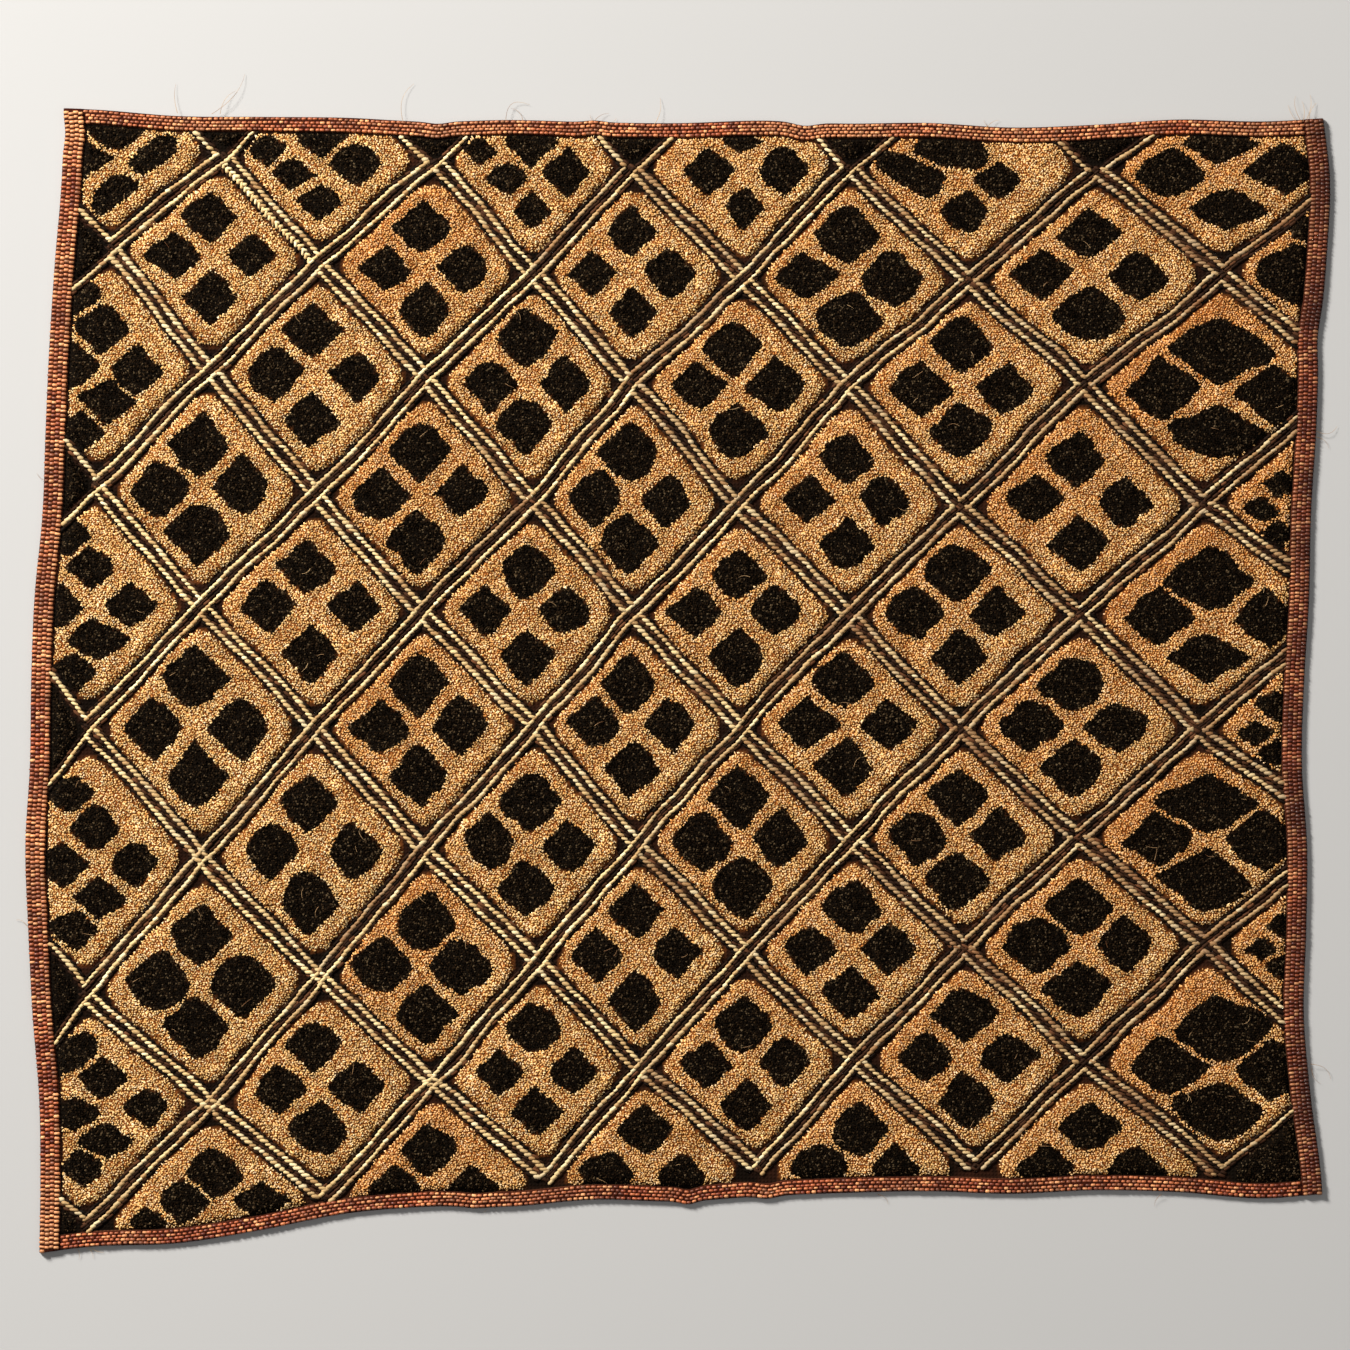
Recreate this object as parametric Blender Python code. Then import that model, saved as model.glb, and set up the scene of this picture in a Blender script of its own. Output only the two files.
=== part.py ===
# Raffia cut-pile panel lying flat, face up.
# A plain-woven ground with a turned hem on all four sides. Stitched cord
# lines cross it on the slant, and a block of cut pile fills each diamond
# between them. Units are metres in the scene and millimetres in the tables.
# Origin: middle of the panel's underside. +X right, +Y far edge, +Z up.

import math

import bmesh
import bpy
from mathutils import Vector
from mathutils.geometry import delaunay_2d_cdt

MM = 0.001

# Thicknesses above the table, in mm
GROUND_TOP = 1.2
CORD_TOP = 2.0
CHANNEL_BOTTOM = 1.1
HEM_EDGE = 1.7
HEM_TOP = 2.6
PILE_TOP = 3.1
PILE_CROWN = 3.3
CROWN_WAVE = 0.15

# Widths in the plane of the cloth, in mm
HALF_WIDTH = 300.0
SIDE_HEM = 9.8
END_HEM = 7.4
HEM_ROLL = 1.5
HEM_CORNER_GAP = 1.0
BAND_HALF = 6.6
CORD_OFFSET = 3.2
CORD_STOP = 5.6
PILE_SLOPE = 2.2
PILE_TO_HEM = 0.5
CORD_TO_HEM = 0.6

# Pile blocks: roundness of their corners and points round their rims.
# Smallest area in square mm, and steps along rims and hems in mm
BLOCK_ROUNDNESS = 8.5
RIM_POINTS = 16
CROWN_POINTS = 8
CROWN_REACH = 0.55
SMALLEST_BLOCK = 60.0
LONGEST_RIM_STEP = 16.0
SHORTEST_RIM_STEP = 0.4
SIDE_STEP = 20.0
END_STEP = 10.0

# Outline across the cloth: X, far edge Y, near edge Y
FAR_AND_NEAR_EDGE = (
    (-320.0, 274.8, -275.9),
    (-280.0, 273.9, -271.6),
    (-240.0, 270.8, -270.0),
    (-200.0, 270.4, -263.7),
    (-160.0, 270.0, -255.9),
    (-120.0, 268.1, -252.5),
    (-80.0, 268.9, -252.4),
    (-40.0, 267.8, -249.1),
    (0.0, 267.4, -250.0),
    (40.0, 268.6, -247.5),
    (80.0, 267.2, -245.9),
    (120.0, 267.5, -245.1),
    (160.0, 265.3, -246.3),
    (200.0, 266.6, -244.6),
    (240.0, 269.1, -245.5),
    (280.0, 268.2, -248.5),
    (320.0, 270.0, -245.5),
)

# Outline along the cloth: Y, left edge X, right edge X
LEFT_AND_RIGHT_EDGE = (
    (-280.0, -306.3, 309.7),
    (-240.0, -305.8, 308.9),
    (-200.0, -306.4, 303.8),
    (-160.0, -309.6, 300.4),
    (-120.0, -311.6, 301.6),
    (-80.0, -313.0, 302.0),
    (-40.0, -310.8, 299.5),
    (0.0, -310.2, 300.6),
    (40.0, -308.6, 303.0),
    (80.0, -304.8, 303.9),
    (120.0, -303.3, 306.4),
    (160.0, -301.5, 308.0),
    (200.0, -298.9, 311.2),
    (240.0, -295.6, 313.0),
    (280.0, -294.6, 308.8),
)

# Small puckers in the hems: edge, place along it, half width, depth outward
PUCKERS = (
    ("near", 5.0, 5.0, 1.6),
    ("near", -97.0, 7.0, 0.8),
    ("near", 43.0, 6.0, 1.4),
    ("far", 61.0, 7.0, -1.8),
    ("far", -40.0, 6.0, 0.9),
    ("far", -115.0, 6.0, -1.0),
    ("right", 165.0, 12.0, -1.2),
    ("left", 262.0, 7.0, -1.0),
)

# Rows of crossings, from past the far edge to past the near edge:
# Y at the left, in the middle and at the right of the cloth
ROW_REACH = 280.0
FIRST_ROW = -2
ROWS = (
    (356.0, 354.0, 352.0),
    (303.0, 301.0, 299.0),
    (253.3, 246.1, 245.5),
    (208.1, 193.2, 195.2),
    (151.6, 142.1, 143.2),
    (93.1, 85.2, 84.4),
    (36.5, 31.4, 33.6),
    (-22.1, -22.6, -23.4),
    (-87.0, -78.2, -74.0),
    (-150.1, -132.8, -126.7),
    (-209.8, -185.2, -185.7),
    (-257.3, -235.8, -237.4),
    (-312.0, -290.0, -289.0),
    (-364.0, -342.0, -341.0),
)

# Columns of crossings, from past the left edge to past the right edge:
# X at the far edge, in the middle and at the near edge of the cloth
COLUMN_REACH = 250.0
FIRST_COLUMN = -1
COLUMNS = (
    (-376.0, -386.0, -386.0),
    (-322.0, -334.0, -336.0),
    (-269.4, -282.2, -283.9),
    (-218.2, -229.3, -220.7),
    (-170.3, -173.6, -168.5),
    (-116.8, -122.8, -115.3),
    (-67.3, -68.9, -62.7),
    (-22.1, -21.2, -15.8),
    (34.2, 29.4, 40.2),
    (81.3, 82.5, 84.9),
    (143.6, 135.3, 144.8),
    (200.7, 192.2, 197.4),
    (269.3, 249.7, 263.8),
    (326.0, 318.0, 322.0),
    (384.0, 380.0, 382.0),
)

HEM_COLOUR = (0.30, 0.11, 0.05, 1.0)
PILE_COLOUR = (0.42, 0.27, 0.10, 1.0)


def through_table(table, column, at):
    """Reads a table's column at a place, along a smooth curve through its rows."""
    places = [row[0] for row in table]
    values = [row[column] for row in table]
    last = len(table) - 1
    step = places[1] - places[0]
    k = min(max(int((at - places[0]) // step), 0), last - 1)
    t = (at - places[k]) / step
    before = values[max(k - 1, 0)]
    after = values[min(k + 2, last)]
    rise_a = (values[k + 1] - before) / 2
    rise_b = (after - values[k]) / 2
    return (
        values[k] * (2 * t**3 - 3 * t**2 + 1)
        + rise_a * (t**3 - 2 * t**2 + t)
        + values[k + 1] * (3 * t**2 - 2 * t**3)
        + rise_b * (t**3 - t**2)
    )


def pucker(edge, at):
    """Depth of the puckers on an edge at a place along it."""
    depth = 0.0
    for name, place, half_width, most in PUCKERS:
        if name == edge:
            depth += most * math.exp(-(((at - place) / half_width) ** 2))
    return depth


def far_edge(x):
    return through_table(FAR_AND_NEAR_EDGE, 1, x) + pucker("far", x)


def near_edge(x):
    return through_table(FAR_AND_NEAR_EDGE, 2, x) - pucker("near", x)


def left_edge(y):
    return through_table(LEFT_AND_RIGHT_EDGE, 1, y) - pucker("left", y)


def right_edge(y):
    return through_table(LEFT_AND_RIGHT_EDGE, 2, y) + pucker("right", y)


def bowed(three, reach, at):
    """Value at a place of the bow through three values at -reach, 0 and reach."""
    low, middle, high = three
    t = at / reach
    return middle + t * (high - low) / 2 + t * t * ((high + low) / 2 - middle)


def crossing(row, column):
    """Where the row and the column of crossings meet."""
    heights = ROWS[row - FIRST_ROW]
    far, middle, near = COLUMNS[column - FIRST_COLUMN]
    x, y = middle, heights[1]
    for _ in range(4):
        y = bowed(heights, ROW_REACH, x)
        x = bowed((near, middle, far), COLUMN_REACH, y)
    return Vector((x, y))


# Distances in from the hems' inner lines, positive on the pile side
def past_left_hem(point):
    return point.x - left_edge(point.y) - SIDE_HEM


def past_right_hem(point):
    return right_edge(point.y) - SIDE_HEM - point.x


def past_far_hem(point):
    return far_edge(point.x) - END_HEM - point.y


def past_near_hem(point):
    return point.y - near_edge(point.x) - END_HEM


HEM_SIDES = (past_left_hem, past_right_hem, past_far_hem, past_near_hem)


def trimmed(ring, inset):
    """The part of a closed ring that lies inside the hems by the inset."""
    for past in HEM_SIDES:
        kept = []
        for k, here in enumerate(ring):
            there = ring[(k + 1) % len(ring)]
            a = past(here) - inset
            b = past(there) - inset
            if a >= 0:
                kept.append(here)
            if (a >= 0) != (b >= 0):
                kept.append(here.lerp(there, a / (a - b)))
        ring = kept
    return stepped(ring) if len(ring) > 2 else []


def stepped(ring):
    """A ring with points added along its long sides and none too close."""
    fine = []
    for k, here in enumerate(ring):
        there = ring[(k + 1) % len(ring)]
        length = (there - here).length
        if length < SHORTEST_RIM_STEP:
            continue
        steps = max(1, math.ceil(length / LONGEST_RIM_STEP))
        fine += [here.lerp(there, s / steps) for s in range(steps)]
    return fine


def ring_area(ring):
    total = 0.0
    for k, here in enumerate(ring):
        there = ring[(k + 1) % len(ring)]
        total += here.x * there.y - here.y * there.x
    return abs(total) / 2


class Block:
    """One diamond of the lattice, with the pile block that stands in it."""

    def __init__(self, row, column):
        self.far = crossing(row - 1, column)
        self.near = crossing(row + 1, column)
        self.left = crossing(row, column - 1)
        self.right = crossing(row, column + 1)
        area = ring_area([self.far, self.right, self.near, self.left])
        rising = (self.far - self.left).length + (self.right - self.near).length
        falling = (self.right - self.far).length + (self.near - self.left).length
        self.half_across_rising = area / rising
        self.half_across_falling = area / falling

    def place(self, u, v):
        """Point of the diamond: u and v run from side to side, -1 to 1."""
        return (
            self.far * (1 - u) * (1 + v)
            + self.right * (1 + u) * (1 + v)
            + self.near * (1 + u) * (1 - v)
            + self.left * (1 - u) * (1 - v)
        ) / 4

    def rim(self, inset, count):
        """Rounded ring that lies inside the diamond's sides by the inset."""
        reach_u = 1 - inset / self.half_across_rising
        reach_v = 1 - inset / self.half_across_falling
        power = 2 / BLOCK_ROUNDNESS
        ring = []
        for k in range(count):
            angle = math.tau * k / count
            c, s = math.cos(angle), math.sin(angle)
            u = math.copysign(abs(c) ** power, c) if abs(c) > 1e-6 else 0.0
            v = math.copysign(abs(s) ** power, s) if abs(s) > 1e-6 else 0.0
            ring.append(self.place(u * reach_u, v * reach_v))
        return ring


class Plan:
    """Points of the cloth's upper face, each with a height, and the lines between."""

    def __init__(self):
        self.points = []
        self.heights = []
        self.lines = []

    def add(self, point, height):
        self.points.append(point)
        self.heights.append(height)
        return len(self.points) - 1

    def line(self, points, height, closed=False):
        """Adds a line at one height, or at a height for each point."""
        heights = height if isinstance(height, list) else [height] * len(points)
        ids = [self.add(p, h) for p, h in zip(points, heights)]
        self.lines += list(zip(ids, ids[1:]))
        if closed:
            self.lines.append((ids[-1], ids[0]))
        return ids


def ground_wave(point):
    """Gentle unevenness of the pile's crown, from 0 to 1."""
    slow = math.sin(point.x / 61.0 + 0.7) * math.cos(point.y / 47.0)
    quick = math.sin(point.x / 23.0) * math.sin(point.y / 29.0 + 1.1)
    return 0.5 + 0.3 * slow + 0.2 * quick


def side_profile(width):
    """Across a hem from its outer edge: distance in and height."""
    return (
        (0.0, HEM_EDGE),
        (HEM_ROLL, HEM_TOP),
        (width - HEM_ROLL, HEM_TOP),
        (width, GROUND_TOP),
    )


def evenly(start, end, longest):
    steps = max(1, math.ceil(abs(end - start) / longest))
    return [start + (end - start) * k / steps for k in range(steps + 1)]


def hem_end(edge, inward, distance, end_edge):
    """Y at which a line of a side hem meets the far or near edge."""
    x = inward * -HALF_WIDTH
    for _ in range(3):
        y = end_edge(x)
        x = edge(y) + inward * distance
    return y


def side_hem(plan, edge, inward):
    """The hem along a side runs the cloth's full length, over the end hems."""
    columns = []
    for distance, height in side_profile(SIDE_HEM):
        low = hem_end(edge, inward, distance, near_edge)
        high = hem_end(edge, inward, distance, far_edge)
        ys = evenly(low, high, SIDE_STEP)
        points = [Vector((edge(y) + inward * distance, y)) for y in ys]
        columns.append(plan.line(points, height))
    for end in (0, -1):
        plan.lines += [(a[end], b[end]) for a, b in zip(columns, columns[1:])]
    return columns


def end_hem(plan, edge, inward, from_x, to_x):
    """The hem along the far or near edge, between the side hems."""
    for distance, height in side_profile(END_HEM)[1:]:
        xs = evenly(from_x + HEM_CORNER_GAP, to_x - HEM_CORNER_GAP, END_STEP)
        plan.line([Vector((x, edge(x) + inward * distance)) for x in xs], height)


def outer_edge(plan, left_columns, right_columns):
    """Closes the outline between the side hems along the far and near edges."""
    loop = list(reversed(left_columns[0]))
    for end, edge in ((0, near_edge), (-1, far_edge)):
        start = plan.points[left_columns[-1][end]].x
        stop = plan.points[right_columns[-1][end]].x
        xs = evenly(start, stop, END_STEP)[1:-1]
        middle = [plan.add(Vector((x, edge(x))), HEM_EDGE) for x in xs]
        across = [c[end] for c in left_columns] + middle
        across += [c[end] for c in reversed(right_columns)]
        plan.lines += list(zip(across, across[1:]))
        if end == 0:
            loop = loop[:-1] + across
        else:
            loop = loop + right_columns[0][1:-1] + list(reversed(across))[:-1]
    return loop


def inside_hems(point, inset):
    return all(past(point) >= inset for past in HEM_SIDES)


def cord_line(plan, points, height):
    """Adds the stretches of a line that lie between the hems."""
    run = []
    for here, there in zip(points, points[1:]):
        a = inside_hems(here, CORD_TO_HEM)
        b = inside_hems(there, CORD_TO_HEM)
        if a:
            run.append(here)
        if a != b:
            inner, outer = (here, there) if a else (there, here)
            for _ in range(12):
                middle = inner.lerp(outer, 0.5)
                if inside_hems(middle, CORD_TO_HEM):
                    inner = middle
                else:
                    outer = middle
            run.append(inner.copy())
            if a:
                plan.line(run, height)
                run = []
    if inside_hems(points[-1], CORD_TO_HEM):
        run.append(points[-1])
    if len(run) > 1:
        plan.line(run, height)


def beside(line, offset):
    """A line that runs beside another at a distance to its left."""
    shifted = []
    for k, here in enumerate(line):
        before = line[max(k - 1, 0)]
        after = line[min(k + 1, len(line) - 1)]
        along = (after - before).normalized()
        shifted.append(here + Vector((-along.y, along.x)) * offset)
    return shifted


def crossings_on(row, column, column_step):
    """A slanting line's crossings, from a row at the near side to the far side."""
    found = []
    last_row = FIRST_ROW + len(ROWS) - 1
    last_column = FIRST_COLUMN + len(COLUMNS) - 1
    while FIRST_ROW <= row <= last_row and FIRST_COLUMN <= column <= last_column:
        found.append(crossing(row, column))
        row -= 1
        column += column_step
    return found


def line_starts(column_step):
    """Row and column at which each slanting line enters the lattice."""
    last_row = FIRST_ROW + len(ROWS) - 1
    last_column = FIRST_COLUMN + len(COLUMNS) - 1
    entry = FIRST_COLUMN if column_step > 0 else last_column
    starts = [(last_row, c) for c in range(FIRST_COLUMN, last_column + 1)]
    starts += [(r, entry) for r in range(FIRST_ROW, last_row)]
    return [(r, c) for r, c in starts if (r + c) % 2 == 0]


def cord_lines(plan):
    """Rising lines run on through the crossings, falling ones stop short of them."""
    for row, column in line_starts(1):
        line = crossings_on(row, column, 1)
        if len(line) < 2:
            continue
        for offset in (-CORD_OFFSET, CORD_OFFSET):
            cord_line(plan, beside(line, offset), CORD_TOP)
        cord_line(plan, line, CHANNEL_BOTTOM)
    for row, column in line_starts(-1):
        line = crossings_on(row, column, -1)
        for here, there in zip(line, line[1:]):
            along = (there - here).normalized() * CORD_STOP
            stretch = [here + along, there - along]
            for offset in (-CORD_OFFSET, CORD_OFFSET):
                cord_line(plan, beside(stretch, offset), CORD_TOP)
            cord_line(plan, stretch, CHANNEL_BOTTOM)


def pile_blocks(plan):
    """A block in each diamond: foot on the ground, rim of the pile, low crown."""
    for row in range(FIRST_ROW + 1, FIRST_ROW + len(ROWS) - 1):
        for column in range(FIRST_COLUMN + 1, FIRST_COLUMN + len(COLUMNS) - 1):
            if (row + column) % 2 == 0:
                continue
            block = Block(row, column)
            foot = trimmed(block.rim(BAND_HALF, RIM_POINTS), PILE_TO_HEM)
            rim_inset = BAND_HALF + PILE_SLOPE
            to_hem = PILE_TO_HEM + PILE_SLOPE
            rim = trimmed(block.rim(rim_inset, RIM_POINTS), to_hem)
            if ring_area(foot) < SMALLEST_BLOCK:
                continue
            plan.line(foot, GROUND_TOP, closed=True)
            if not rim:
                continue
            plan.line(rim, PILE_TOP, closed=True)
            half = block.half_across_rising
            crown_inset = half * (1 - CROWN_REACH)
            for point in block.rim(crown_inset, CROWN_POINTS):
                if inside_hems(point, to_hem + PILE_SLOPE):
                    wave = CROWN_WAVE * (2 * ground_wave(point) - 1)
                    plan.add(point, PILE_CROWN + wave)


def raffia_cloth(colour):
    """The panel as one closed solid with a flat underside."""
    plan = Plan()
    left = side_hem(plan, left_edge, 1)
    right = side_hem(plan, right_edge, -1)
    outline = outer_edge(plan, left, right)
    near_from = plan.points[left[-1][0]].x
    near_to = plan.points[right[-1][0]].x
    far_from = plan.points[left[-1][-1]].x
    far_to = plan.points[right[-1][-1]].x
    end_hem(plan, near_edge, 1, near_from, near_to)
    end_hem(plan, far_edge, -1, far_from, far_to)
    pile_blocks(plan)
    cord_lines(plan)

    places, _, faces, came_from, _, _ = delaunay_2d_cdt(
        plan.points, plan.lines, [outline], 1, 1e-4
    )
    bm = bmesh.new()
    upper = []
    for place, sources in zip(places, came_from):
        height = max((plan.heights[s] for s in sources), default=GROUND_TOP)
        upper.append(bm.verts.new((place.x * MM, place.y * MM, height * MM)))
    for face in faces:
        bm.faces.new([upper[k] for k in face])

    rim_edges = [e for e in bm.edges if len(e.link_faces) == 1]
    below = {}
    for edge in rim_edges:
        for vert in edge.verts:
            if vert not in below:
                below[vert] = bm.verts.new((vert.co.x, vert.co.y, 0.0))
    floor_edges = []
    for edge in rim_edges:
        a, b = edge.verts
        bm.faces.new((a, b, below[b], below[a]))
        floor_edges.append(bm.edges.get((below[a], below[b])))
    bmesh.ops.triangle_fill(bm, edges=floor_edges, use_beauty=True)
    bmesh.ops.triangulate(bm, faces=[f for f in bm.faces if len(f.verts) > 3])
    bmesh.ops.recalc_face_normals(bm, faces=list(bm.faces))

    mesh = bpy.data.meshes.new("raffia_cloth")
    bm.to_mesh(mesh)
    bm.free()
    cloth = bpy.data.objects.new("raffia_cloth", mesh)
    bpy.context.scene.collection.objects.link(cloth)
    cloth.data.materials.append(colour)
    return cloth


def raffia(name, colour):
    material = bpy.data.materials.new(name)
    material.use_nodes = True
    shader = material.node_tree.nodes["Principled BSDF"]
    shader.inputs["Base Color"].default_value = colour
    shader.inputs["Roughness"].default_value = 0.85
    shader.inputs["Metallic"].default_value = 0.0
    return material


for thing in list(bpy.data.objects):
    bpy.data.objects.remove(thing, do_unlink=True)
raffia_cloth(raffia("raffia_pile", PILE_COLOUR))
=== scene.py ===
import math

import bpy
import numpy as np
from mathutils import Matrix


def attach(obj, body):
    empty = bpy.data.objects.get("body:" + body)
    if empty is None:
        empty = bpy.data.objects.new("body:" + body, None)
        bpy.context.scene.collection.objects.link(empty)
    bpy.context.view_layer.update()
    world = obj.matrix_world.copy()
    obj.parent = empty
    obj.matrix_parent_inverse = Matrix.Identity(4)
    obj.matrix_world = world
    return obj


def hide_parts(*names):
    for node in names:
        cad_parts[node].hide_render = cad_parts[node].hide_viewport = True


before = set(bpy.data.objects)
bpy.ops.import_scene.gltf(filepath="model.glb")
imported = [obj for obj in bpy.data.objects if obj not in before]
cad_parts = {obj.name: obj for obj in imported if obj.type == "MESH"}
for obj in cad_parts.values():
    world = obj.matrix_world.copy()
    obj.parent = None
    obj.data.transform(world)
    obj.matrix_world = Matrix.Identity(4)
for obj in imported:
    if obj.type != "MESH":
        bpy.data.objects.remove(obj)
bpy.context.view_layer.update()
mm = 0.001
rng = np.random.default_rng(680)
print("solid loaded:", list(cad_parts))

# Lengths in mm. Each edge is read at even steps across or along the cloth.
clothLayout = {
    "acrossStart": -320.0,
    "acrossStep": 40.0,
    "farEdge": (274.8, 273.9, 270.8, 270.4, 270.0, 268.1, 268.9, 267.8, 267.4,
                268.6, 267.2, 267.5, 265.3, 266.6, 269.1, 268.2, 270.0),
    "nearEdge": (-275.9, -271.6, -270.0, -263.7, -255.9, -252.5, -252.4, -249.1, -250.0,
                 -247.5, -245.9, -245.1, -246.3, -244.6, -245.5, -248.5, -245.5),
    "alongStart": -280.0,
    "alongStep": 40.0,
    "leftEdge": (-306.3, -305.8, -306.4, -309.6, -311.6, -313.0, -310.8, -310.2,
                 -308.6, -304.8, -303.3, -301.5, -298.9, -295.6, -294.6),
    "rightEdge": (309.7, 308.9, 303.8, 300.4, 301.6, 302.0, 299.5, 300.6,
                  303.0, 303.9, 306.4, 308.0, 311.2, 313.0, 308.8),
    # edge, place along it, half width, depth outward
    "puckers": (("near", 5.0, 5.0, 1.6), ("near", -97.0, 7.0, 0.8), ("near", 43.0, 6.0, 1.4),
                ("far", 61.0, 7.0, -1.8), ("far", -40.0, 6.0, 0.9), ("far", -115.0, 6.0, -1.0),
                ("right", 165.0, 12.0, -1.2), ("left", 262.0, 7.0, -1.0)),
    "sideHem": 9.8,
    "endHem": 7.4,
    "leftSeam": 10.6,         # the pile starts this far in from the left edge
    # Y of each row of crossings at the left, in the middle and at the right
    "rowReach": 280.0,
    "firstRow": -2,
    "rows": ((356.0, 354.0, 352.0), (303.0, 301.0, 299.0), (253.3, 246.1, 245.5),
             (208.1, 193.2, 195.2), (151.6, 142.1, 143.2), (93.1, 85.2, 84.4),
             (36.5, 31.4, 33.6), (-22.1, -22.6, -23.4), (-87.0, -78.2, -74.0),
             (-150.1, -132.8, -126.7), (-209.8, -185.2, -185.7), (-262.0, -235.8, -237.4),
             (-312.0, -290.0, -289.0), (-364.0, -342.0, -341.0)),
    # X of each column of crossings at the far edge, in the middle and at the near edge
    "columnReach": 250.0,
    "firstColumn": -1,
    "columns": ((-376.0, -386.0, -386.0), (-322.0, -334.0, -336.0), (-269.4, -282.2, -283.9),
                (-218.2, -229.3, -220.7), (-170.3, -173.6, -168.5), (-116.8, -122.8, -115.3),
                (-67.3, -68.9, -62.7), (-22.1, -21.2, -15.8), (34.2, 29.4, 40.2),
                (81.3, 82.5, 84.9), (143.6, 135.3, 144.8), (200.7, 192.2, 197.4),
                (269.3, 249.7, 263.8), (326.0, 318.0, 322.0), (384.0, 380.0, 382.0)),
    "bandHalf": 5.3,          # from the middle of a band of cords to the foot of the pile
    "darkBandHalf": 0.4,      # the same where the pile is black all over
    "ownBandHalf": {(1, 12): (1.4, 4.2)},    # the same on the upper left and on the lower left of one block
    "blockRoundness": 9.0,
    "darkBlocks": ((9, 12),),    # black all over, besides the blocks at the far and left edges
    "lastRow": 11,
    "lastColumn": 13,
    "strays": 1.1,            # the needlework strays from its lattice by this much at most
    "strayWaves": 26.0,
    "straySeeds": (91, 92),
}


def smoothThrough(values, start, step, at):
    v = np.asarray(values, float)
    place = (np.asarray(at, float) - start) / step
    k = np.clip(np.floor(place).astype(int), 0, len(v) - 2)
    t = place - k
    here, there = v[k], v[k + 1]
    riseHere = (there - v[np.maximum(k - 1, 0)]) / 2
    riseThere = (v[np.minimum(k + 2, len(v) - 1)] - here) / 2
    return (here * (2 * t**3 - 3 * t**2 + 1) + riseHere * (t**3 - 2 * t**2 + t)
            + there * (3 * t**2 - 2 * t**3) + riseThere * (t**3 - t**2))


def puckerAt(edge, at):
    depth = 0.0
    for name, place, halfWidth, most in clothLayout["puckers"]:
        if name == edge:
            depth = depth + most * np.exp(-(((at - place) / halfWidth) ** 2))
    return depth


def readAcross(key, at):
    return smoothThrough(clothLayout[key], clothLayout["acrossStart"], clothLayout["acrossStep"], at)


def readAlong(key, at):
    return smoothThrough(clothLayout[key], clothLayout["alongStart"], clothLayout["alongStep"], at)


def farEdge(x):
    return readAcross("farEdge", x) + puckerAt("far", x)


def nearEdge(x):
    return readAcross("nearEdge", x) - puckerAt("near", x)


def leftEdge(y):
    return readAlong("leftEdge", y) - puckerAt("left", y)


def rightEdge(y):
    return readAlong("rightEdge", y) + puckerAt("right", y)


def insideHems(x, y):  # distance in from the nearest hem's inner line
    side, end = clothLayout["sideHem"], clothLayout["endHem"]
    across = np.minimum(x - leftEdge(y) - side, rightEdge(y) - side - x)
    along = np.minimum(farEdge(x) - end - y, y - nearEdge(x) - end)
    return np.minimum(across, along)


def bowed(three, reach, at):
    low, middle, high = three
    t = at / reach
    return middle + t * (high - low) / 2 + t * t * ((high + low) / 2 - middle)


def crossing(row, column):
    heights = clothLayout["rows"][row - clothLayout["firstRow"]]
    far, middle, near = clothLayout["columns"][column - clothLayout["firstColumn"]]
    x, y = middle, heights[1]
    for _ in range(4):  # each pass comes nearer to where row and column meet
        y = bowed(heights, clothLayout["rowReach"], x)
        x = bowed((near, middle, far), clothLayout["columnReach"], y)
    return np.array((x, y))


def ripple(x, y, size, seed):  # smooth unevenness between -1 and 1, with waves about as wide as size
    n = 64  # the unevenness repeats after this many waves
    grid = np.random.default_rng(seed).uniform(-1, 1, (n, n))
    px, py = np.asarray(x) / size + 10 * n, np.asarray(y) / size + 10 * n
    kx, ky = np.floor(px).astype(int), np.floor(py).astype(int)
    tx, ty = px - kx, py - ky
    tx, ty = tx * tx * (3 - 2 * tx), ty * ty * (3 - 2 * ty)
    a, b = grid[kx % n, ky % n], grid[(kx + 1) % n, ky % n]
    c, d = grid[kx % n, (ky + 1) % n], grid[(kx + 1) % n, (ky + 1) % n]
    return (a * (1 - tx) + b * tx) * (1 - ty) + (c * (1 - tx) + d * tx) * ty


def eased(t):
    t = np.clip(t, 0.0, 1.0)
    return t * t * (3 - 2 * t)


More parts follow.
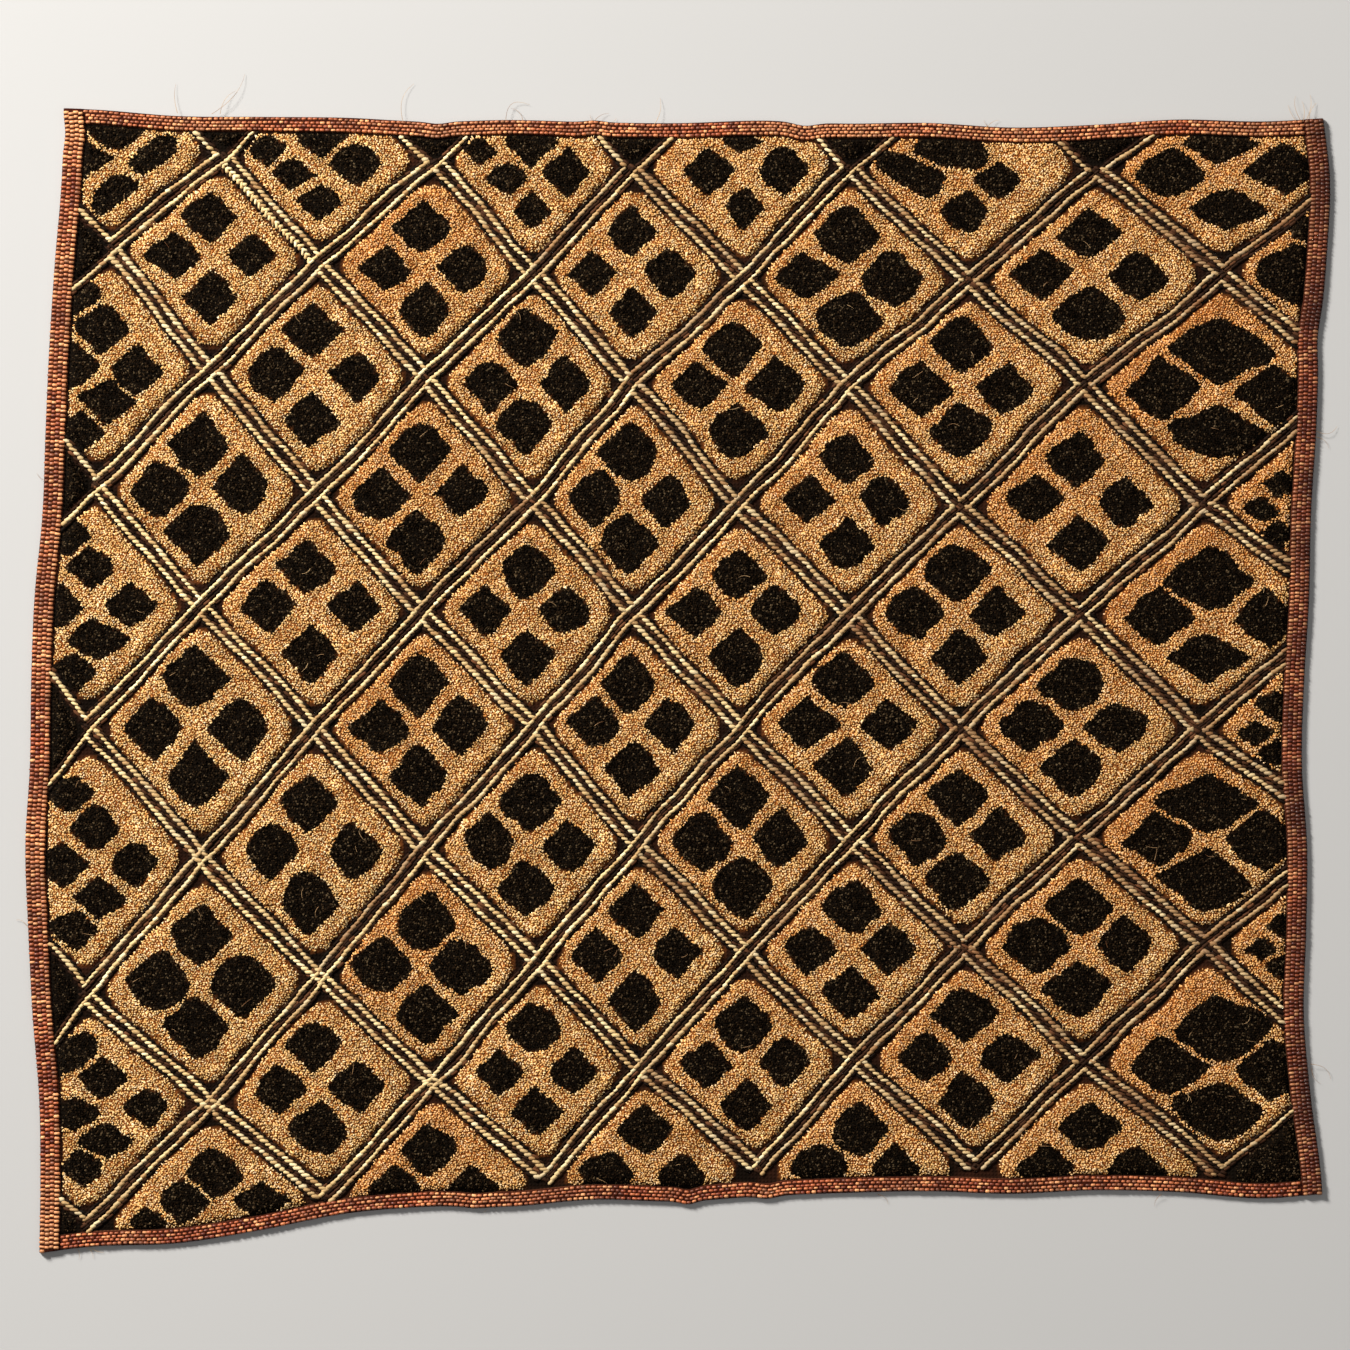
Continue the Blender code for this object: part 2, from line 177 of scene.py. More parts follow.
# Spots of dark pile in a block: X, Y, half width, half height and, where it is turned, by how many degrees.
# Shares of the block's half width and half height, or mm from a crossing.
spotRules = {
    "usual": ((-0.045, 0.385, 0.275, 0.25), (-0.40, 0.015, 0.262, 0.237),
              (0.335, 0.015, 0.252, 0.232), (-0.04, -0.375, 0.27, 0.252)),
    "corner": ((-50.4, 15.0, 15.0, 12.5), (-68.5, -1.9, 18.5, 10.5),
               (-32.7, 0.5, 13.5, 6.6, 40.0), (-52.5, -17.8, 13.0, 6.4, 34.0)),
    "rightColumn": ((0.03, 0.31, 0.40, 0.28), (-0.38, -0.02, 0.29, 0.28),
                    (0.44, -0.06, 0.29, 0.27), (0.01, -0.41, 0.36, 0.26)),
    "farRow": ((-0.04, 0.20, 0.18, 0.11), (-0.32, -0.05, 0.24, 0.2),
               (0.36, -0.03, 0.22, 0.2), (0.0, -0.38, 0.19, 0.19)),
    "farRowLeft": ((-0.05, 0.20, 0.28, 0.24), (-0.32, -0.14, 0.21, 0.155),
                   (0.32, -0.06, 0.24, 0.22), (-0.05, -0.42, 0.21, 0.18),
                   (-0.56, 0.09, 0.19, 0.15)),
    "leftColumn": ((-51.5, 17.2, 12.4, 11.0), (-33.3, -1.0, 12.0, 11.6), (-67.0, -1.5, 13.5, 11.6),
                   (-48.0, -17.7, 14.0, 11.0), (-62.5, 31.5, 11.5, 9.2), (-61.0, -32.5, 11.8, 9.6)),
    "rightEdge": ((37.0, 10.0, 8.8, 7.0), (26.6, -1.0, 8.9, 5.8), (36.5, -12.3, 8.8, 7.2)),
    # blocks at the edges with spots of their own, in mm on the cloth
    "own": {(0, 9): ((112.6, 242.2, 17.0, 7.5, -27.0), (131.9, 253.4, 17.0, 8.5, -12.0),
                     (154.7, 239.8, 12.5, 9.5), (138.3, 224.0, 11.0, 10.5)),
            (0, 11): ((237.0, 243.4, 18.5, 12.0), (260.4, 257.9, 21.0, 10.5),
                      (289.0, 244.9, 18.5, 13.5), (263.5, 225.1, 19.0, 11.0)),
            (1, 12): ((296.5, 194.5, 18.5, 14.5), (304.0, 215.5, 12.0, 7.5)),
            (8, 1): ((-275.1, -190.3, 13.0, 10.4), (-255.3, -204.4, 11.4, 9.2), (-290.2, -208.5, 11.0, 8.6),
                     (-274.0, -221.6, 13.2, 8.6), (-289.2, -177.8, 12.0, 7.4, 32.0),
                     (-286.6, -235.1, 10.6, 8.7)),
            (9, 2): ((-220.9, -235.6, 14.0, 12.0), (-235.5, -249.7, 13.0, 10.5),
                     (-253.2, -259.1, 10.0, 6.5), (-199.1, -249.7, 14.5, 8.5))},
    "sideLean": 0.8,          # how far the spots at the left follow the slope of their row
    "roundness": (1.05, 1.42),    # 1 is a plain diamond, 2 an ellipse
    "grown": (0.92, 1.06),    # least and most for a whole block
    "placeJitter": 0.024,
    "sizeJitter": 0.07,
    "lumps": ((2, 0.03), (3, 0.05), (5, 0.045), (7, 0.03)),     # waves round a spot, share of its size
    "ragged": 0.45,           # mm that a spot's edge strays
    "ridgeHalf": 1.15,        # least mm of tan pile on either side of the line between two spots
    "lumpLeast": 0.3,
    "turned": 7.0,            # most degrees that a spot is turned by chance
    "turnedBulge": 3.0,       # a spot turned by its rule is squarer
    "leftCut": 1,             # the columns that the side hems cut
    "rightCut": 12,
    "wide": 11,               # the column of wide blocks at the right
    "farRowTurns": 6,         # from this column on, the far row's spots are laid out the other way
    "warmColumns": {4: 0.14, 11: 0.08},
    "warmJitter": 0.08,
    "warmToRight": 0.02,
    "warmOnLitSide": (0.45, 0.9, 0.5, 0.65),    # a block is warmer at its left, the side that faces the light, as painted light: least, more, middle, slope
}

pileRules = {
    "farOff": 9.0,            # mm, where no edge is near
    "hemGap": 0.3,            # mm between a hem and the pile
    "underHem": 3.0,          # mm under a hem that the pile is still worked out for
    "past": 12.0,             # the same past the near and the far crossing of a block
    "footWaves": ((0.6, 9.0, 3), (0.55, 2.7, 4)),    # size in mm, width and seed of the foot's unevenness
    "spotWaves": ((1.0, 4.0, 5), (0.8, 1.5, 6)),     # the same for a spot's edge, as shares of ragged
    "outPower": 8,            # pile leans outward only near its rim
}


def allDarkAt(row, column):  # whether the pile there is black all over
    return row < 0 or column < 1 or (row, column) in clothLayout["darkBlocks"]


class PileBlock:
    # The pile between four crossings
    def __init__(self, row, column):
        self.row, self.column = row, column
        self.far, self.near = crossing(row - 1, column), crossing(row + 1, column)
        self.left, self.right = crossing(row, column - 1), crossing(row, column + 1)
        f, r, n, l = self.far, self.right, self.near, self.left
        self.middle = (f + r + n + l) / 4
        self.alongU, self.alongV = (r + n - f - l) / 4, (f + r - n - l) / 4
        self.twist = (r + l - f - n) / 4
        area = abs((r[0] - l[0]) * (f[1] - n[1]) - (r[1] - l[1]) * (f[0] - n[0])) / 2
        self.halfU = area / (math.dist(f, l) + math.dist(r, n))
        self.halfV = area / (math.dist(r, f) + math.dist(n, l))
        self.halfWidth, self.halfHeight = (r[0] - l[0]) / 2, (f[1] - n[1]) / 2
        self.allDark = allDarkAt(row, column)
        self.warm = spotRules["warmColumns"].get(column, 0.0) + rng.uniform(0.0, spotRules["warmJitter"])
        self.warm += spotRules["warmToRight"] * column
        self.spots = [] if self.allDark else self.layOutSpots()

    def layOutSpots(self):
        s = spotRules
        lean, place = 0.0, (self.row, self.column)
        if place in s["own"]:
            rule, base, scale = s["own"][place], np.zeros(2), np.ones(2)
        elif self.column == s["leftCut"]:
            rule, base, scale = s["leftColumn" if self.row else "corner"], self.right, np.ones(2)
            if self.row:
                rise, run = self.right[1] - self.left[1], self.right[0] - self.left[0]
                lean = s["sideLean"] * rise / run
        elif self.column == s["rightCut"]:
            rule, base, scale = s["rightEdge"], self.left, np.ones(2)
        else:
            rule, base = s["usual"], self.middle
            scale = np.array((self.halfWidth, self.halfHeight))
            if self.row == 0:
                rule = s["farRowLeft" if self.column < s["farRowTurns"] else "farRow"]
            elif self.column == s["wide"]:
                rule = s["rightColumn"]
        spots, blockSize = [], rng.uniform(*s["grown"])
        for dx, dy, a, b, *turn in rule:
            stray = rng.uniform(-1, 1, 2) * s["placeJitter"] * self.halfHeight
            grown = blockSize * (1 + rng.uniform(-1, 1, 2) * s["sizeJitter"])
            at = base + np.array((dx, dy + lean * dx)) * scale + stray
            bulge = s["turnedBulge"] if turn else rng.uniform(*s["roundness"])
            lumps = [(waves, most * rng.uniform(s["lumpLeast"], 1.0), rng.uniform(0, math.tau))
                     for waves, most in s["lumps"]]
            angle = math.radians(turn[0] if turn else rng.uniform(-s["turned"], s["turned"]))
            spots.append((at, a * scale[0] * grown[0], b * scale[1] * grown[1], angle, bulge, lumps))
        return spots

    def spotAt(self, x, y):  # mm in from the edge of the nearest spot
        farOff = pileRules["farOff"]
        nearest = np.full(len(x), farOff if self.allDark else -farOff)
        second = np.full(len(x), -2 * farOff)
        for at, a, b, turn, bulge, lumps in self.spots:
            dx, dy = x - at[0], y - at[1]
            along = (dx * math.cos(turn) + dy * math.sin(turn)) / a
            across = (dy * math.cos(turn) - dx * math.sin(turn)) / b
            angle, reach = np.arctan2(across, along), np.ones(len(x))
            for waves, most, phase in lumps:
                reach = reach + most * np.cos(waves * angle + phase)
            away = (np.abs(along)**bulge + np.abs(across)**bulge) ** (1 / bulge)
            inFrom = (reach - away) * min(a, b)
            second = np.maximum(second, np.minimum(nearest, inFrom))
            nearest = np.maximum(nearest, inFrom)
        spot = np.minimum(nearest, (nearest - second) / 2 - spotRules["ridgeHalf"])
        rough = sum(most * ripple(x, y, size, seed) for most, size, seed in pileRules["spotWaves"])
        return spot + spotRules["ragged"] * rough

    def local(self, x, y):  # u and v run from side to side, -1 to 1
        u, v = np.zeros_like(x), np.zeros_like(x)
        for _ in range(6):  # each pass comes nearer
            missX = self.middle[0] + self.alongU[0] * u + self.alongV[0] * v + self.twist[0] * u * v - x
            missY = self.middle[1] + self.alongU[1] * u + self.alongV[1] * v + self.twist[1] * u * v - y
            a, b = self.alongU[0] + self.twist[0] * v, self.alongV[0] + self.twist[0] * u
            c, d = self.alongU[1] + self.twist[1] * v, self.alongV[1] + self.twist[1] * u
            det = a * d - b * c
            u = u - (d * missX - b * missY) / det
            v = v - (a * missY - c * missX) / det
        return u, v


blocks = [PileBlock(row, column)
          for row in range(clothLayout["firstRow"] + 1, clothLayout["lastRow"])
          for column in range(clothLayout["firstColumn"] + 1, clothLayout["lastColumn"])
          if (row + column) % 2]
print("pile blocks laid out:", len(blocks))


def strayed(x, y):  # how far the needlework strays from the plain lattice
    s = clothLayout
    return [s["strays"] * ripple(x, y, s["strayWaves"], seed) for seed in s["straySeeds"]]


def pileAt(x, y):
    # depth: mm in from the pile's foot. spot: mm in from a dark spot's edge.
    s = pileRules
    found = {key: np.full(len(x), -s["farOff"]) for key in ("depth", "spot")}
    found.update({key: np.zeros(len(x)) for key in ("crown", "warm", "outX", "outY")})
    toHem = np.minimum(insideHems(x, y) - s["hemGap"], x - leftEdge(y) - clothLayout["leftSeam"])
    strayX, strayY = strayed(x, y)
    x, y = x - strayX, y - strayY
    roundness = clothLayout["blockRoundness"]
    for block in blocks:
        inX = (x > block.left[0]) & (x < block.right[0])
        inY = (y > block.near[1] - s["past"]) & (y < block.far[1] + s["past"])
        k = np.flatnonzero(inX & inY & (toHem > -s["underHem"]))
        if not len(k):
            continue
        u, v = block.local(x[k], y[k])
        held = (np.abs(u) <= 1) & (np.abs(v) <= 1)
        k, u, v = k[held], u[held], v[held]
        bandHalf = clothLayout["darkBandHalf" if block.allDark else "bandHalf"]
        footU, footV = clothLayout["ownBandHalf"].get((block.row, block.column), (bandHalf, bandHalf))
        reachU, reachV = 1 - footU / block.halfU, 1 - footV / block.halfV
        shareU, shareV = np.abs(u) / reachU, np.abs(v) / reachV
        rim = (shareU**roundness + shareV**roundness) ** (1 / roundness)
        depth = (1 - rim) * min(block.halfU * reachU, block.halfV * reachV)
        for most, width, seed in s["footWaves"]:
            depth = depth + most * ripple(x[k], y[k], width, seed)
        found["depth"][k] = np.minimum(depth, toHem[k])
        found["crown"][k] = 1 - np.clip(rim, 0, 1) ** 2
        found["spot"][k] = block.spotAt(x[k], y[k])
        # painted light: each block's warm tone grows toward its upper-left flank, which faces the light
        least, more, middle, slope = spotRules["warmOnLitSide"]
        found["warm"][k] = block.warm * (least + more * eased(middle - slope * u))
        outU, outV = np.sign(u) * shareU**s["outPower"], np.sign(v) * shareV**s["outPower"]
        outX = outU * block.alongU[0] + outV * block.alongV[0]
        outY = outU * block.alongU[1] + outV * block.alongV[1]
        size = max(np.hypot(*block.alongU), np.hypot(*block.alongV))
        found["outX"][k], found["outY"][k] = outX / size, outY / size
    return found


def newPiece(name, mesh):
    piece = bpy.data.objects.new(name, mesh)
    bpy.context.scene.collection.objects.link(piece)
    return piece


def addValues(mesh, **values):  # named values on a mesh's points
    for name, data in values.items():
        data = np.asarray(data, np.float32)
        kind = "FLOAT_VECTOR" if data.ndim == 2 else "FLOAT"
        layer = mesh.attributes.new(name, kind, "POINT")
        layer.data.foreach_set("vector" if data.ndim == 2 else "value", data.ravel())


def pointPiece(name, x, y, z, **values):  # loose points, in mm, for a tree to plant on
    mesh = bpy.data.meshes.new(name)
    mesh.vertices.add(len(x))
    places = np.stack((x, y, z), axis=1) * mm
    mesh.vertices.foreach_set("co", places.astype(np.float32).ravel())
    addValues(mesh, **values)
    return newPiece(name, mesh)


def pathPiece(name, runs, **values):  # open lines, in mm, for a tree to follow
    mesh = bpy.data.meshes.new(name)
    places, edges = [], []
    for run in runs:
        first = len(places)
        places += [tuple(p * mm for p in point) for point in run]
        edges += [(k, k + 1) for k in range(first, len(places) - 1)]
    mesh.from_pydata(places, edges, [])
    addValues(mesh, **values)
    return newPiece(name, mesh)


# Small shapes that are repeated: 1 m long, wide and high, scaled by the trees
def grainShape(name, sides):  # a plump grain that lies along X
    mesh = bpy.data.meshes.new(name)
    rings, places = (-0.3, 0.3), [(-0.5, 0.0, 0.0)]
    for along in rings:
        for k in range(sides):
            angle = math.tau * (k + 0.5) / sides
            places.append((along, 0.5 * math.cos(angle), 0.5 * math.sin(angle)))
    places.append((0.5, 0.0, 0.0))
    last, faces = len(places) - 1, []
    for k in range(sides):
        here, there = 1 + k, 1 + (k + 1) % sides
        faces += [(0, there, here), (here, there, there + sides, here + sides)]
        faces.append((last, here + sides, there + sides))
    mesh.from_pydata(places, [], faces)
    return bpy.data.objects.new(name, mesh)


def tuftShape(name, sides):  # a small flared tuft that stands on Z
    mesh = bpy.data.meshes.new(name)
    places = [(0.5 * math.cos(math.tau * k / sides), 0.5 * math.sin(math.tau * k / sides), 0.0)
              for k in range(sides)] + [(0.08, 0.05, 1.0)]
    mesh.from_pydata(places, [], [(k, (k + 1) % sides, sides) for k in range(sides)])
    addValues(mesh, tip=[0.0] * sides + [1.0])
    return bpy.data.objects.new(name, mesh)


def addNode(tree, kind, inputs, settings):  # a socket among the inputs is linked, a plain value is set
    made = tree.nodes.new(kind)
    for key, value in settings.items():
        setattr(made, key, value)
    for key, value in (inputs or {}).items():
        if isinstance(value, bpy.types.NodeSocket):
            tree.links.new(value, made.inputs[key])
        else:
            made.inputs[key].default_value = value
    return made


class Tree:
    # A geometry tree with named inputs, built node by node
    def __init__(self, name, inputs):
        self.group = bpy.data.node_groups.new(name, "GeometryNodeTree")
        self.group.interface.new_socket("Geometry", in_out="INPUT", socket_type="NodeSocketGeometry")
        self.sockets = {}
        for label in inputs:
            kind = "NodeSocketInt" if label == "Seed" else "NodeSocketFloat"
            self.sockets[label] = self.group.interface.new_socket(label, in_out="INPUT", socket_type=kind)
        self.group.interface.new_socket("Geometry", in_out="OUTPUT", socket_type="NodeSocketGeometry")
        self.start = self.group.nodes.new("NodeGroupInput")
        self.end = self.group.nodes.new("NodeGroupOutput")

    def node(self, kind, inputs=None, **settings):
        return addNode(self.group, kind, inputs, settings)

    def input(self, label):
        return self.start.outputs[label]

    def value(self, name, kind="FLOAT"):
        made = self.node("GeometryNodeInputNamedAttribute", {"Name": name}, data_type=kind)
        return made.outputs["Attribute"]

    def maths(self, operation, a, b):
        return self.node("ShaderNodeMath", {0: a, 1: b}, operation=operation).outputs[0]

    def chance(self, low, high, turn):
        seed = self.maths("ADD", self.input("Seed"), turn)
        # 2 and 3 are the node's least and most as plain numbers, 8 its seed
        made = self.node("FunctionNodeRandomValue", {2: low, 3: high, 8: seed}, data_type="FLOAT")
        return made.outputs[1]

    def vector(self, x, y, z):
        return self.node("ShaderNodeCombineXYZ", {0: x, 1: y, 2: z}).outputs[0]

    def between(self, spread, turn):  # a chance from -spread to +spread
        return self.chance(self.maths("MULTIPLY", spread, -1.0), spread, turn)

    def finish(self, geometry, material):
        real = self.node("GeometryNodeRealizeInstances", {0: geometry})
        smooth = self.node("GeometryNodeSetShadeSmooth", {0: real.outputs[0], "Shade Smooth": True})
        dressed = self.node("GeometryNodeSetMaterial", {0: smooth.outputs[0], "Material": material})
        self.group.links.new(dressed.outputs[0], self.end.inputs[0])

    def apply(self, piece, settings):  # turns the tree's result into a plain mesh
        modifier = piece.modifiers.new(self.group.name, "NODES")
        modifier.node_group = self.group
        for label, socket in self.sockets.items():
            modifier[socket.identifier] = settings[label]
        graph = bpy.context.evaluated_depsgraph_get()
        made = bpy.data.meshes.new_from_object(piece.evaluated_get(graph), depsgraph=graph)
        piece.modifiers.remove(modifier)
        before, piece.data = piece.data, made
        bpy.data.meshes.remove(before)
        made.name = piece.name
        print(piece.name, "made:", len(made.polygons), "faces")
        return piece


def plantTinted(tree, points, rotation, shape, material):
    # Length, width and height are uneven, each in its own way, and every shape has its tint
    sizes = []
    for turn, label in enumerate(("Length", "Width", "Height")):
        uneven = tree.maths("ADD", tree.between(tree.input("Unevenness"), 10 + turn), 1.0)
        size = tree.maths("MULTIPLY", tree.input(label), uneven)
        sizes.append(tree.maths("MULTIPLY", size, tree.value("grow")))
    source = tree.node("GeometryNodeObjectInfo", {"Object": shape})
    planted = tree.node("GeometryNodeInstanceOnPoints", {
        "Points": points, "Instance": source.outputs["Geometry"],
        "Rotation": rotation.outputs[0], "Scale": tree.vector(*sizes)})
    tinted = tree.node("GeometryNodeStoreNamedAttribute", {
        "Geometry": planted.outputs[0], "Name": "tint", "Value": tree.chance(0.0, 1.0, 4)},
        data_type="FLOAT", domain="INSTANCE")
    tree.finish(tinted.outputs[0], material)


def plantShapes(piece, shape, material, settings):
    # Plants the shape on each point, turned by "heading", leaning by "upward", sized by "grow"
    tree = Tree(settings["name"], ("Length", "Width", "Height", "Spin", "Lean", "Unevenness", "Seed"))
    turned = tree.maths("ADD", tree.value("heading"), tree.between(tree.input("Spin"), 1))
    flat = tree.node("FunctionNodeEulerToRotation", {0: tree.vector(0.0, 0.0, turned)})
    sway = tree.vector(tree.between(tree.input("Lean"), 2), tree.between(tree.input("Lean"), 3), 0.0)
    upward = tree.value("upward", "FLOAT_VECTOR")
    way = tree.node("ShaderNodeVectorMath", {0: upward, 1: sway}, operation="ADD")
    leaning = tree.node("FunctionNodeAlignRotationToVector",
                        {"Rotation": flat.outputs[0], "Vector": way.outputs[0]}, axis="Z")
    plantTinted(tree, tree.input("Geometry"), leaning, shape, material)
    return tree.apply(piece, settings)


def stitchAlong(piece, shape, material, settings):
    # Lays slanted stitches along each line, a pitch apart
    tree = Tree(settings["name"], ("Pitch", "Length", "Width", "Height", "Slant", "Unevenness", "Seed"))
    line = tree.node("GeometryNodeMeshToCurve", {0: tree.input("Geometry")})
    spaced = tree.node("GeometryNodeCurveToPoints",
                       {0: line.outputs[0], "Length": tree.input("Pitch")}, mode="LENGTH")
    ahead = tree.node("FunctionNodeAlignRotationToVector", {"Vector": spaced.outputs["Tangent"]}, axis="X")
    uneven = tree.maths("ADD", tree.between(tree.input("Unevenness"), 1), 1.0)
    slant = tree.maths("MULTIPLY", tree.maths("MULTIPLY", tree.input("Slant"), uneven), tree.value("lay"))
    turn = tree.node("FunctionNodeEulerToRotation", {0: tree.vector(0.0, 0.0, slant)})
    turned = tree.node("FunctionNodeRotateRotation",
                       {"Rotation": ahead.outputs[0], "Rotate By": turn.outputs[0]}, rotation_space="LOCAL")
    plantTinted(tree, spaced.outputs["Points"], turned, shape, material)
    return tree.apply(piece, settings)


def spinStrands(piece, material, settings):
    # Gives each line a thin round body that tapers to its tip
    tree = Tree(settings["name"], ("Radius", "Taper", "Seed"))
    line = tree.node("GeometryNodeMeshToCurve", {0: tree.input("Geometry")})
    along = tree.node("GeometryNodeSplineParameter")
    thinner = tree.maths("MULTIPLY", along.outputs["Factor"], tree.input("Taper"))
    width = tree.maths("MULTIPLY", tree.input("Radius"), tree.maths("SUBTRACT", 1.0, thinner))
    ring = tree.node("GeometryNodeCurvePrimitiveCircle", {"Resolution": 4, "Radius": 1.0})
    body = tree.node("GeometryNodeCurveToMesh", {0: line.outputs[0], 1: ring.outputs[0],
                                                 "Scale": width, "Fill Caps": True})
    tree.finish(body.outputs[0], material)
    return tree.apply(piece, settings)


def rgb(red, green, blue):  # a colour as a screen shows it, made linear
    return tuple((v / 255 / 12.92 if v < 10.3 else ((v / 255 + 0.055) / 1.055) ** 2.4)
                 for v in (red, green, blue)) + (1.0,)


class Finish:
    # A node material on a Principled shader
    def __init__(self, name, roughness, sheen=0.0, specular=0.5):
        self.material = bpy.data.materials.new(name)
        self.material.use_nodes = True
        self.tree = self.material.node_tree
        self.shader = self.tree.nodes["Principled BSDF"]
        self.shader.inputs["Roughness"].default_value = roughness
        self.shader.inputs["Sheen Weight"].default_value = sheen
        self.shader.inputs["Sheen Roughness"].default_value = 0.5
        self.shader.inputs["Specular IOR Level"].default_value = specular

    def node(self, kind, inputs=None, **settings):
        return addNode(self.tree, kind, inputs, settings)

    def value(self, name):
        return self.node("ShaderNodeAttribute", attribute_name=name).outputs["Fac"]

    def place(self):
        return self.node("ShaderNodeTexCoord").outputs["Object"]

    def noise(self, scale, detail):
        return self.node("ShaderNodeTexNoise", {"Vector": self.place(), "Scale": scale,
                                                "Detail": detail}).outputs["Fac"]

    def ramp(self, factor, *stops):
        made = self.node("ShaderNodeValToRGB", {"Fac": factor})
        points = made.color_ramp.elements
        while len(points) < len(stops):
            points.new(0.5)
        for point, (at, colour) in zip(points, stops):
            point.position, point.color = at, colour
        return made.outputs["Color"]

    def mix(self, factor, a, b, blend="MIX"):
        # 6 and 7 are its two colours
        made = self.node("ShaderNodeMix", {0: factor, 6: a, 7: b}, data_type="RGBA", blend_type=blend)
        return made.outputs[2]

    def times(self, colour, by):
        return self.mix(1.0, colour, by, "MULTIPLY")

    def grey(self, value, low, high):  # a grey that runs from low to high as value goes from 0 to 1
        made = self.node("ShaderNodeMapRange", {0: value, 3: low, 4: high})
        return made.outputs[0]

    def shade(self, value, low, high):  # the same between two colours
        return self.mix(value, (*low, 1.0), (*high, 1.0))

    def dress(self, colour, bumpFrom, strength, distance=0.3 * mm):
        self.tree.links.new(colour, self.shader.inputs["Base Color"])
        bump = self.node("ShaderNodeBump", {"Height": bumpFrom, "Strength": strength, "Distance": distance})
        self.tree.links.new(bump.outputs[0], self.shader.inputs["Normal"])
        return self.material


def tanPileFinish():
    # the dim parts are browner as well as darker
    made = Finish("tanPile", roughness=0.85, sheen=0.03, specular=0.2)
    plain = made.ramp(made.value("tint"), (0.0, rgb(198, 134, 72)), (0.1, rgb(230, 186, 120)),
                      (0.5, rgb(244, 211, 152)), (0.85, rgb(249, 222, 174)), (1.0, rgb(253, 234, 202)))
    # warm holds each block's own warmer tone, and painted light on its lit upper-left flank
    warmed = made.mix(made.value("warm"), plain, rgb(226, 138, 56))
    clumps = made.shade(made.noise(110.0, 3.0), (0.76, 0.68, 0.52), (1.36, 1.45, 1.58))
    clumped = made.times(warmed, clumps)
    tufts = made.shade(made.noise(420.0, 1.0), (0.74, 0.66, 0.52), (1.38, 1.46, 1.58))
    tufted = made.times(clumped, tufts)
    # painted shade: the tufts are darker and browner at their roots, where the pile shades itself, and
    # brighter at their lit tips
    paintedRootShade = made.shade(made.value("tip"), (0.52, 0.39, 0.21), (1.18, 1.19, 1.2))
    rootShaded = made.times(tufted, paintedRootShade)
    grained = made.times(rootShaded, made.grey(made.noise(1300.0, 1.0), 0.8, 1.2))
    return made.dress(grained, made.noise(2400.0, 2.0), 0.5)


def blackPileFinish():
    made = Finish("blackPile", roughness=0.9, specular=0.04)
    plain = made.ramp(made.value("tint"), (0.0, rgb(10, 5, 1)), (0.5, rgb(26, 16, 7)),
                      (0.8, rgb(52, 38, 23)), (1.0, rgb(96, 80, 58)))
    # painted shade: the tufts are darker at their roots and lighter at their tips
    rootShaded = made.times(plain, made.grey(made.value("tip"), 0.5, 1.1))
    return made.dress(rootShaded, made.noise(2400.0, 2.0), 0.5)


def creamCordFinish():
    made = Finish("creamCord", roughness=0.65, specular=0.3)
    plain = made.ramp(made.value("tint"), (0.0, rgb(176, 138, 88)), (0.25, rgb(214, 182, 126)),
                      (0.7, rgb(234, 208, 152)), (1.0, rgb(250, 232, 186)))
    # brown holds the cords' own browner stretches and the painted shadow on some upper cords
    browned = made.mix(made.value("brown"), plain, rgb(122, 78, 44))
    speckled = made.times(browned, made.grey(made.noise(700.0, 2.0), 0.7, 1.22))
    return made.dress(speckled, made.noise(2600.0, 2.0), 0.5)


def darkCordFinish():
    made = Finish("darkCord", roughness=0.75, specular=0.08)
    plain = made.ramp(made.value("tint"), (0.0, rgb(13, 7, 3)), (0.6, rgb(28, 16, 8)),
                      (0.9, rgb(48, 29, 16)), (1.0, rgb(92, 57, 35)))
    browner = made.ramp(made.value("tint"), (0.0, rgb(24, 13, 6)), (0.6, rgb(47, 28, 16)),
                        (0.9, rgb(70, 43, 26)), (1.0, rgb(104, 66, 42)))
    # the outer dark cords beside the pile keep the darker colours: dark stitching, darkened further as
    # painted shade from the overhanging pile
    cored = made.mix(made.value("core"), plain, browner)
    return made.dress(cored, made.noise(2600.0, 2.0), 0.4)


def hemFinish():
    made = Finish("hemRaffia", roughness=0.45, specular=0.45)
    plain = made.ramp(made.value("tint"), (0.0, rgb(86, 31, 13)), (0.3, rgb(138, 61, 32)),
                      (0.75, rgb(184, 96, 53)), (1.0, rgb(242, 172, 114)))
    paled = made.mix(made.value("pale"), plain, rgb(222, 157, 104))
    # mixes in random darkening, and painted shade on the right hem, darkest at its outer edge
    aged = made.mix(made.value("aged"), paled, rgb(58, 26, 16))
    worn = made.times(aged, made.grey(made.noise(60.0, 4.0), 0.55, 1.4))
    return made.dress(worn, made.noise(3000.0, 2.0), 0.4)


def fibreFinish():
    made = Finish("looseFibre", roughness=0.6, specular=0.3)
    plain = made.ramp(made.noise(90.0, 2.0), (0.3, rgb(120, 76, 44)), (0.7, rgb(214, 178, 128)))
    return made.dress(plain, made.noise(2600.0, 2.0), 0.3)


